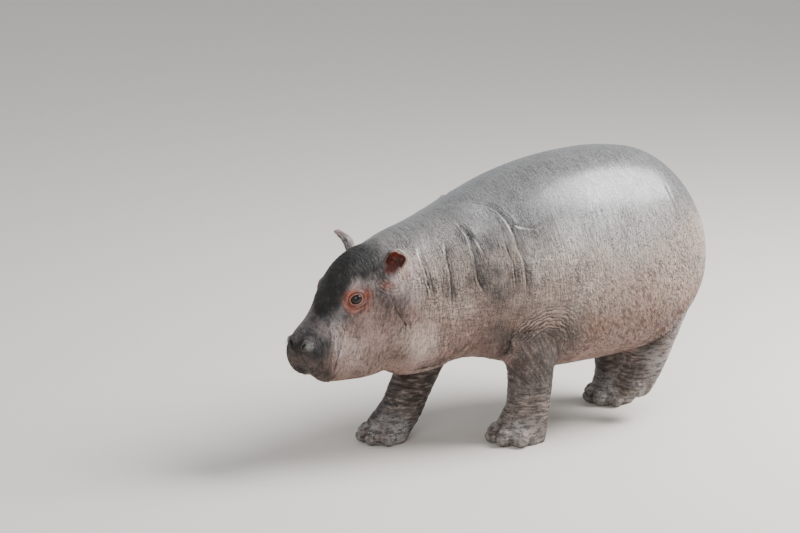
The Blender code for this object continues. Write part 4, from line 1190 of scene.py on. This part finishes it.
cut = (body_mask * (0.42 * upright_lines + 0.45 * slant_lines * (1 - back_mask * 0.4))
       * (1 - arc_mask)
       + hatch_mask * plain * (0.60 * fine_upright + 0.50 * fine_level)
       + 0.35 * body_mask * (1 - hatch_mask) * (1 - pebble_mask) * fine_upright
       + pebble_mask * pebble_edges
       + leg_mask * (1 - upper_leg) * (1.15 * leg_sags.rise(0.48, 0.36) + 0.25 * leg_cells)
       + upper_leg * (1.10 * leg_slants.rise(0.48, 0.36) + 0.20 * leg_cells
                      + 0.45 * fine_level + 0.35 * fine_upright)
       + arc_mask * 1.10 * elbow_wave.rise(0.05, 0.75)
       + head_mask * (0.30 * fine_upright + 0.40 * crown_lines
                      + 1.10 * head_strokes.rise(0.47, 0.35) * patchy.rise(0.36, 0.56))).clamped()
# ridge tops: raised in the relief, and given a painted highlight in the colour
tops = (1.1 * leg_mask * (1 - upper_leg) * leg_sags.rise(0.52, 0.65)
        + 1.1 * upper_leg * leg_slants.rise(0.52, 0.65)
        + 1.3 * arc_mask * elbow_wave.rise(-0.05, -0.75)
        + 0.75 * pebble_mask * pebble_tops
        + 0.7 * head_mask * (1 - dark_mask) * head_strokes.rise(0.54, 0.68)
        * patchy.rise(0.36, 0.56)
        + 0.30 * kept_value("fold") * abs(across_fold + 2.2).rise(2.2, 0.4)
        ).clamped()
wetness = speckle(place, 11.0, 3.0).rise(0.40, 0.62)
grit = speckle(place, 240.0, 2.0, 0.6).rise(0.47, 0.35) * (0.45 + 0.8 * patchy.rise(0.36, 0.60))

base = flat(HIDE_FLANK)
for layer in (
    (HIDE_BACK, back_mask),
    # painted sheen on the upper back and shoulders
    (HIDE_PAINTED_SHEEN, mottled_value("upper_sheen", 0.7, 1.0)),
    (HIDE_LOW, low_mask * (1 - head_mask)),
    (HIDE_UNDER, kept_value("under") * 0.8),
    (HIDE_LEG, (leg_mask * (0.9 + 0.4 * (mottled - 0.5))
                + 0.80 * upper_leg + 0.25 * arc_mask).clamped()),
    (HIDE_SHADED, mottled_value("shaded", 0.9, 0.8)),
    (HIDE_TOE, (kept_value("toe") * mottled.rise(0.44, 0.60)).clamped() * 0.75),
    # dark grey neck and shoulder skin, with painted shade between the folds
    (HIDE_GREY_AND_SHADE, mottled_value("grey_and_shade", 0.85, 1.4, 0.4)),
    # painted sheen on the hocks and on the tops of the feet
    (HIDE_PAINTED_SHEEN, mottled_value("hock_and_foot_sheen", 0.6, 1.8, 0.4) * 0.75),
    (HIDE_PINK, kept_value("pink")),
    (HIDE_BRIGHT, mottled_value("bright", 0.7, 1.2)),
    (HIDE_HEAD_TOP, mottled_value("head_top", 0.9, 1.2)),
    (HIDE_HEAD_TOP, mottled_value("dusk", 0.85, 1.4)),
    # brownish painted shade behind and below the eye, on the cheek and under the jaw
    (HIDE_BROWN_SHADE, mottled_value("brown", 0.6, 1.2, 0.4)),
    (HIDE_PALE, mottled_value("pale", 0.68, 1.4, 0.4)),
    (HIDE_FLUSH, mottled_value("flush", 0.55, 1.6, 0.38)),
    (HIDE_DARK, mottled_value("dark", 0.96, 1.2)),
    (HIDE_BACK, mottled_value("nape", 0.6, 1.0)),
    # painted glint of wet light on the nostrils' flared wings
    (HIDE_WING_GLINT, mottled_value("wing", 1.0, 2.4)),
    # painted highlight on the ridge tops between wrinkles and on the roll before each fold
    (HIDE_RIDGE_HIGHLIGHT, tops * (0.36 - 0.10 * head_mask - 0.14 * back_mask)),
    (HIDE_EAR_BACK, kept_value("ear_back") * 0.8),
    (HIDE_EAR_RIM, kept_value("ear_rim") * 0.8),
    # painted shade along the front edge of each ear
    (HIDE_HEAD_TOP, mottled_value("ear_fore_shade", 0.8, 1.2)),
    # the ear's dark red inner skin, darkened toward black as painted shade in the cup
    (HIDE_EAR, ear_mask * (0.92 + 0.4 * (mottled - 0.5))),
    (HIDE_EAR_GLOW, mottled_value("ear_glow", 0.8, 1.6)),
    (HIDE_PALE, mottled_value("ear_lip", 0.8, 1.2)),
    # dark red lines in the lids' creases: the lids' own red, with painted shade in the creases
    (HIDE_SORE_LINE, kept_value("sore_line") * 0.85),
    (HIDE_RIM, rim_mask_shade * 0.6),
    (HIDE_CLOUDS, ((broad - 0.42) * 0.9).clamped() * (1 - head_mask), "OVERLAY"),
    # painted shade in the grooves of the fine lines, rings and cells
    (HIDE_CREASE_SHADE, cut * (0.66 - 0.08 * head_mask)),
    (HIDE_PORE, grit * (0.50 - 0.18 * head_mask - 0.20 * leg_mask) * (1 - ear_mask)),
    (HIDE_PORE, (pores + 0.8 * dashes * (1 - leg_mask)).clamped() * (1 - ear_mask)
     * (0.90 - 0.45 * head_mask - 0.25 * back_mask)),
    # painted shade on the side of each fold away from the head
    (HIDE_GREY_AND_SHADE, kept_value("fold") * abs(across_fold - 2.6).rise(3.2, 0.3)
     * (0.42 - 0.30 * head_mask)),
    # painted shade in the creases and along the folds
    (HIDE_CREASE_SHADE, (0.48 * crease_mask + 0.85 * fold_groove_shade).clamped()),
    # painted shade deep in the nostril slits
    (HIDE_NOSTRIL_SHADE, kept_value("nostril") * 0.97),
):
    base = base.tinted(*layer)
tree.links.new(base.socket, shader.inputs["Base Color"])

coat = ((0.30 - 0.20 * low_mask + 0.55 * back_mask + 0.25 * wetness + 0.5 * kept_value("wing")
         + 0.6 * rim_mask_shade) * (1 - 0.85 * dark_mask) * (1 - ear_mask))
tree.links.new(coat.clamped().socket, shader.inputs["Coat Weight"])
roughness = (0.46 - 0.12 * back_mask + 0.16 * leg_mask + 0.12 * low_mask + 0.16 * (mottled - 0.5)
             - 0.16 * rim_mask_shade + 0.06 * head_mask + 0.15 * cut - 0.12 * wetness
             - 0.22 * kept_value("wing"))
tree.links.new(roughness.clamped().socket, shader.inputs["Roughness"])
relief = (0.35 * mottled - 0.9 * cut + 0.7 * tops - 0.5 * pores - 0.3 * dashes - 0.35 * grit
          - 0.5 * fold_groove_shade + 0.20 * speckle(place, 420.0, 1.0))
bump = Shade.node(tree, "Bump", (), {"Strength": 0.9, "Distance": 0.0034, "Height": relief})
tree.links.new(bump.socket, shader.inputs["Normal"])
hide.data.materials.append(hide_finish)
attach(hide, "root")
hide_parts("trunk", "neck", "tail", "head", "lower_jaw", "ear_left", "ear_right", *LEGS)

# --- Eyes ------------------------------------------------------------------------------------
# Two wet eyeballs that fill the lids, almost all iris: dark brown with faint flecks, a black
# pupil drawn level and a thin brown-red edge. Each is a ball turned to its gaze.

EYE_COLOURS = {"edge": colour(0.040, 0.014, 0.010), "iris": colour(0.014, 0.009, 0.008),
               "pupil": colour(0.002, 0.002, 0.002)}
PUPIL = (0.62, 0.40)


def eyeball(side):
    """Sphere on two angles from its gaze, its front raised a little over the iris as a cornea."""
    centre, gaze, corner, upward = eye_axes(side)
    fall = np.linspace(0.0, math.pi, 49)[1:-1, None]
    turn = np.linspace(0.0, 2 * math.pi, 64, endpoint=False)[None, :]
    radius = EYE_RADIUS * (1.0 + 0.035 * bell(fall, 0.55))
    unit = (np.cos(fall)[..., None] * gaze
            + (np.sin(fall) * np.cos(turn))[..., None] * corner
            + (np.sin(fall) * np.sin(turn))[..., None] * upward)
    local = centre + radius[..., None] * unit
    return tube(HEAD_AT + local @ HEAD_AXES * CM)


for side, name in ((1, "left"), (-1, "right")):
    ball = placed("eyeball_" + name, mesh_of("eyeball_" + name, [eyeball(side)]))
    ball.data.shade_smooth()
    centre, gaze, corner, upward = eye_axes(side)
    ball_places, _ = read_back(ball.data)
    offset = np.stack(head_places(ball_places), axis=-1) - centre
    share = np.hypot(offset @ corner / PUPIL[0], offset @ upward / PUPIL[1])
    for key, values in (
            ("pupil", np.where(offset @ gaze > 0, eased_step(1.15, 0.85, share), 0.0)),
            ("edge", eased_step(0.95, 1.3, np.hypot(offset @ corner, offset @ upward)))):
        keep(ball.data, key, values)
    eye_finish, tree, shader = finish("wet_eye_" + name, 0.07, 0.36)
    place = Shade.node(tree, "TexCoord", (), (), 3)
    iris = flat(EYE_COLOURS["iris"])
    flecks = speckle(place, 900.0, 2.0).rise(0.45, 0.65)
    iris = iris.tinted(colour(0.034, 0.021, 0.016), flecks * 0.5)
    iris = iris.tinted(EYE_COLOURS["edge"], kept_value("edge"))
    iris = iris.tinted(EYE_COLOURS["pupil"], kept_value("pupil"))
    tree.links.new(iris.socket, shader.inputs["Base Color"])
    ball.data.materials.append(eye_finish)
    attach(ball, "root")
    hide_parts("eye_" + name)

# --- Nails -----------------------------------------------------------------------------------
# A blunt nail of horn on the front of each toe, grey and scuffed. Each is a thin rounded
# plate, a flattened ball bent to the toe's curve and seated in it.

NAIL_DROP = 0.50
NAIL_RADII = (1.30, 0.26, 1.15)


def toenail(foot, outward, sideways, above, spread):
    """Thin rounded plate, a flattened ball, bent to lie on the front of the toe's ellipsoid."""
    out_radius, side_radius, up_radius = TOE_RADII[1], TOE_RADII[0], TOE_RADII[2]
    plate, faces = mass(np.zeros(3), NAIL_RADII, np.eye(3), 22, 32)
    across, thick, high = plate[:, 0], plate[:, 1], plate[:, 2] - NAIL_DROP
    on_toe = np.sqrt(np.clip(1 - (across / side_radius)**2 - (high / up_radius)**2, 0.02, 1))
    reach = TOE_REACH * spread + out_radius * on_toe + thick
    return (foot + (reach[:, None] * outward + across[:, None] * sideways
                    + (TOE_HEIGHT + high)[:, None] * above) * CM), faces


nail_finish, tree, shader = finish("scuffed_nail_horn", 0.45, 0.4)
place = Shade.node(tree, "TexCoord", (), (), 3)
grain = speckle(place.scaled((1.0, 1.0, 0.25)), 420.0, 3.0)
scuffs = speckle(place, 120.0, 3.0).rise(0.40, 0.66)
horn = flat(colour(0.130, 0.112, 0.104))
horn = horn.tinted(colour(0.330, 0.310, 0.290), scuffs * 0.6)
horn = horn.tinted(colour(0.060, 0.050, 0.045), grain.rise(0.5, 0.8) * 0.6)
tree.links.new(horn.socket, shader.inputs["Base Color"])
tree.links.new((0.38 + 0.3 * grain).socket, shader.inputs["Roughness"])
bump = Shade.node(tree, "Bump", (), {"Strength": 0.4, "Distance": 0.0006, "Height": grain})
tree.links.new(bump.socket, shader.inputs["Normal"])

for leg in FEET:
    for number, (foot, outward, sideways, above, spread) in enumerate(toe_frames(leg), start=1):
        name = leg.replace("leg_", "") + f"_{number}"
        plate = toenail(foot, outward, sideways, above, spread)
        nail = placed("toenail_" + name, mesh_of("toenail_" + name, [plate]))
        nail.data.shade_smooth()
        nail.data.materials.append(nail_finish)
        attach(nail, "root")
        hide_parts("nail_" + name)

# --- Bristles --------------------------------------------------------------------------------
# Sparse stiff hairs, brown-black and paler at the tip: short on the muzzle, fine on the rims of
# the ears, longest at the tail's tip. Each is a thin tapered tube rooted in the hide.

BRISTLE_STATIONS = 6
BRISTLE_SIDES = 3
BRISTLE_PATCH = 0.003
BRISTLES = {
    # where: how many, length, half width at the root and fall of the tip, in centimetres
    "muzzle": (150, 0.90, 0.022, 0.16),
    "ear": (90, 0.70, 0.014, 0.05),
    "tail": (110, 2.60, 0.026, 0.70),
}
bristle_places = {
    "muzzle": (muzzle > 0.6) & (nostril_deep < 0.05) & (normals @ HEAD_AHEAD > 0.0),
    "ear": ear_rim > 0.7,
    "tail": (forward < -53.0) & (np.abs(left) < 2.5) & (up > 33.0) & (up < 38.0),
}


def bristle(root, outward, lie, length, half_width, fall):
    """Rings round a path that leaves the hide between its normal and its lie, then droops.

    The path's fall grows with the square of the way along it, and a ring's half width shrinks
    evenly from the root's to a quarter of it at the tip.
    """
    t = np.linspace(-0.06, 1.0, BRISTLE_STATIONS)[:, None]
    along = 0.75 * outward + 0.65 * lie
    along /= np.linalg.norm(along)
    path = root + (t * length * along + t**2 * fall * np.array([0.0, 0.0, -1.0])) * CM
    across = np.cross(along, [0.31, 0.52, 0.80])
    across /= np.linalg.norm(across)
    turn = np.linspace(0.0, 2 * math.pi, BRISTLE_SIDES, endpoint=False)[:, None]
    ring = np.cos(turn) * across + np.sin(turn) * np.cross(along, across)
    width = half_width * (1.0 - 0.75 * np.clip(t, 0, 1)) * CM
    return tube(path[:, None] + width[..., None] * ring)


chance = np.random.default_rng(7)
tufts, roots = [], []
for where, (count, length, half_width, fall) in BRISTLES.items():
    candidates = np.flatnonzero(bristle_places[where])
    combed = np.array([0.0, 0.1, -0.7]) if where == "tail" else -0.3 * HEAD_AHEAD
    for number in chance.choice(candidates, min(count, len(candidates)), replace=False):
        lie = chance.normal(size=3) * 0.45 + combed
        tufts.append(bristle(places[number], normals[number], lie,
                             length * chance.uniform(0.6, 1.2), half_width, fall))
        roots.append(places[number])
bristles = placed("bristles", mesh_of("bristles", tufts))
bristles.data.shade_smooth()

# Each hair's patch lies at its root's place on the hide rolled out round the body's length
root_forward, root_left, root_up = body_places(np.array(roots))
patch = np.stack([0.5 + 0.48 * np.arctan2(root_left, root_up - 35.0) / math.pi,
                  (root_forward + 60.0) / 124.0], axis=-1)
station, around = np.meshgrid(np.linspace(0, 1, BRISTLE_STATIONS), np.linspace(0, 1, BRISTLE_SIDES),
                              indexing="ij")
within = np.concatenate([np.stack([station, around], axis=-1).reshape(-1, 2),
                         [[0.0, 0.5], [1.0, 0.5]]])
spots = (patch[:, None] + BRISTLE_PATCH * (within - 0.5)).reshape(-1, 2)
corners = np.empty(len(bristles.data.loops), dtype=np.int32)
bristles.data.loops.foreach_get("vertex_index", corners)
unwrap = bristles.data.uv_layers.new(name="OFBake")
unwrap.data.foreach_set("uv", spots[corners].astype(np.float32).ravel())
keep(bristles.data, "tip", np.tile(within[:, 0], len(tufts)))

bristle_finish, tree, shader = finish("stiff_brown_bristle", 0.42, 0.4)
place = Shade.node(tree, "TexCoord", (), (), 3)
hair = flat(colour(0.030, 0.021, 0.017))
hair = hair.tinted(colour(0.110, 0.080, 0.060), speckle(place, 300.0, 1.0).rise(0.4, 0.6) * 0.7)
hair = hair.tinted(colour(0.240, 0.190, 0.150), kept_value("tip").rise(0.5, 1.0) * 0.6)
tree.links.new(hair.socket, shader.inputs["Base Color"])
bristles.data.materials.append(bristle_finish)
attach(bristles, "root")

# --- Floor, light and camera -----------------------------------------------------------------
# A plain pale floor, one broad soft light overhead and a little behind, a weaker one in front,
# and a long-lens camera low on the calf's left.

floor_mesh = bpy.data.meshes.new("floor")
floor_mesh.from_pydata([(-40, -40, 0), (40, -40, 0), (40, 40, 0), (-40, 40, 0)], [], [(0, 1, 2, 3)])
floor = placed("floor", floor_mesh)
floor_finish, tree, shader = finish("pale_floor", 0.9, 0.1)
shader.inputs["Base Color"].default_value = colour(0.74, 0.70, 0.64)
floor_mesh.materials.append(floor_finish)

world = bpy.data.worlds.new("pale_room")
world.use_nodes = True
world.node_tree.nodes["Background"].inputs["Color"].default_value = colour(0.94, 0.96, 1.0)
world.node_tree.nodes["Background"].inputs["Strength"].default_value = 0.62
bpy.context.scene.world = world

LIGHTS_AIM = Vector((0.0, 0.0, 0.35))
for name, at, size, power in (("overhead", (1.0, 2.1, 2.8), 2.4, 290.0),
                              ("front", (2.8, -3.2, 2.2), 2.0, 75.0)):
    lamp = bpy.data.lights.new(name, "AREA")
    lamp.shape = "DISK"
    lamp.size = size
    lamp.energy = power
    light = placed(name, lamp)
    light.location = at
    light.rotation_euler = (LIGHTS_AIM - Vector(at)).to_track_quat("-Z", "Y").to_euler()

CAMERA_TURN = math.radians(55.0)
CAMERA_RISE = math.radians(13.0)
CAMERA_AWAY = 9.0
CAMERA_LENS = 174.15
CAMERA_SHIFT = (-0.2721, 0.4058)
toward = Vector((math.sin(CAMERA_TURN) * math.cos(CAMERA_RISE),
                 -math.cos(CAMERA_TURN) * math.cos(CAMERA_RISE), math.sin(CAMERA_RISE)))
rightward = Vector((math.cos(CAMERA_TURN), math.sin(CAMERA_TURN), 0.0))
upward = toward.cross(rightward)
lens = bpy.data.cameras.new("camera")
lens.lens = CAMERA_LENS
lens.sensor_width = 36.0
lens.clip_end = 100.0
camera = placed("camera", lens)
camera.location = (Vector(in_body(0.0, 9.0, 0.0)) + CAMERA_AWAY * toward
                   + CAMERA_SHIFT[0] * rightward + CAMERA_SHIFT[1] * upward)
camera.rotation_euler = toward.to_track_quat("Z", "Y").to_euler()
bpy.context.scene.camera = camera
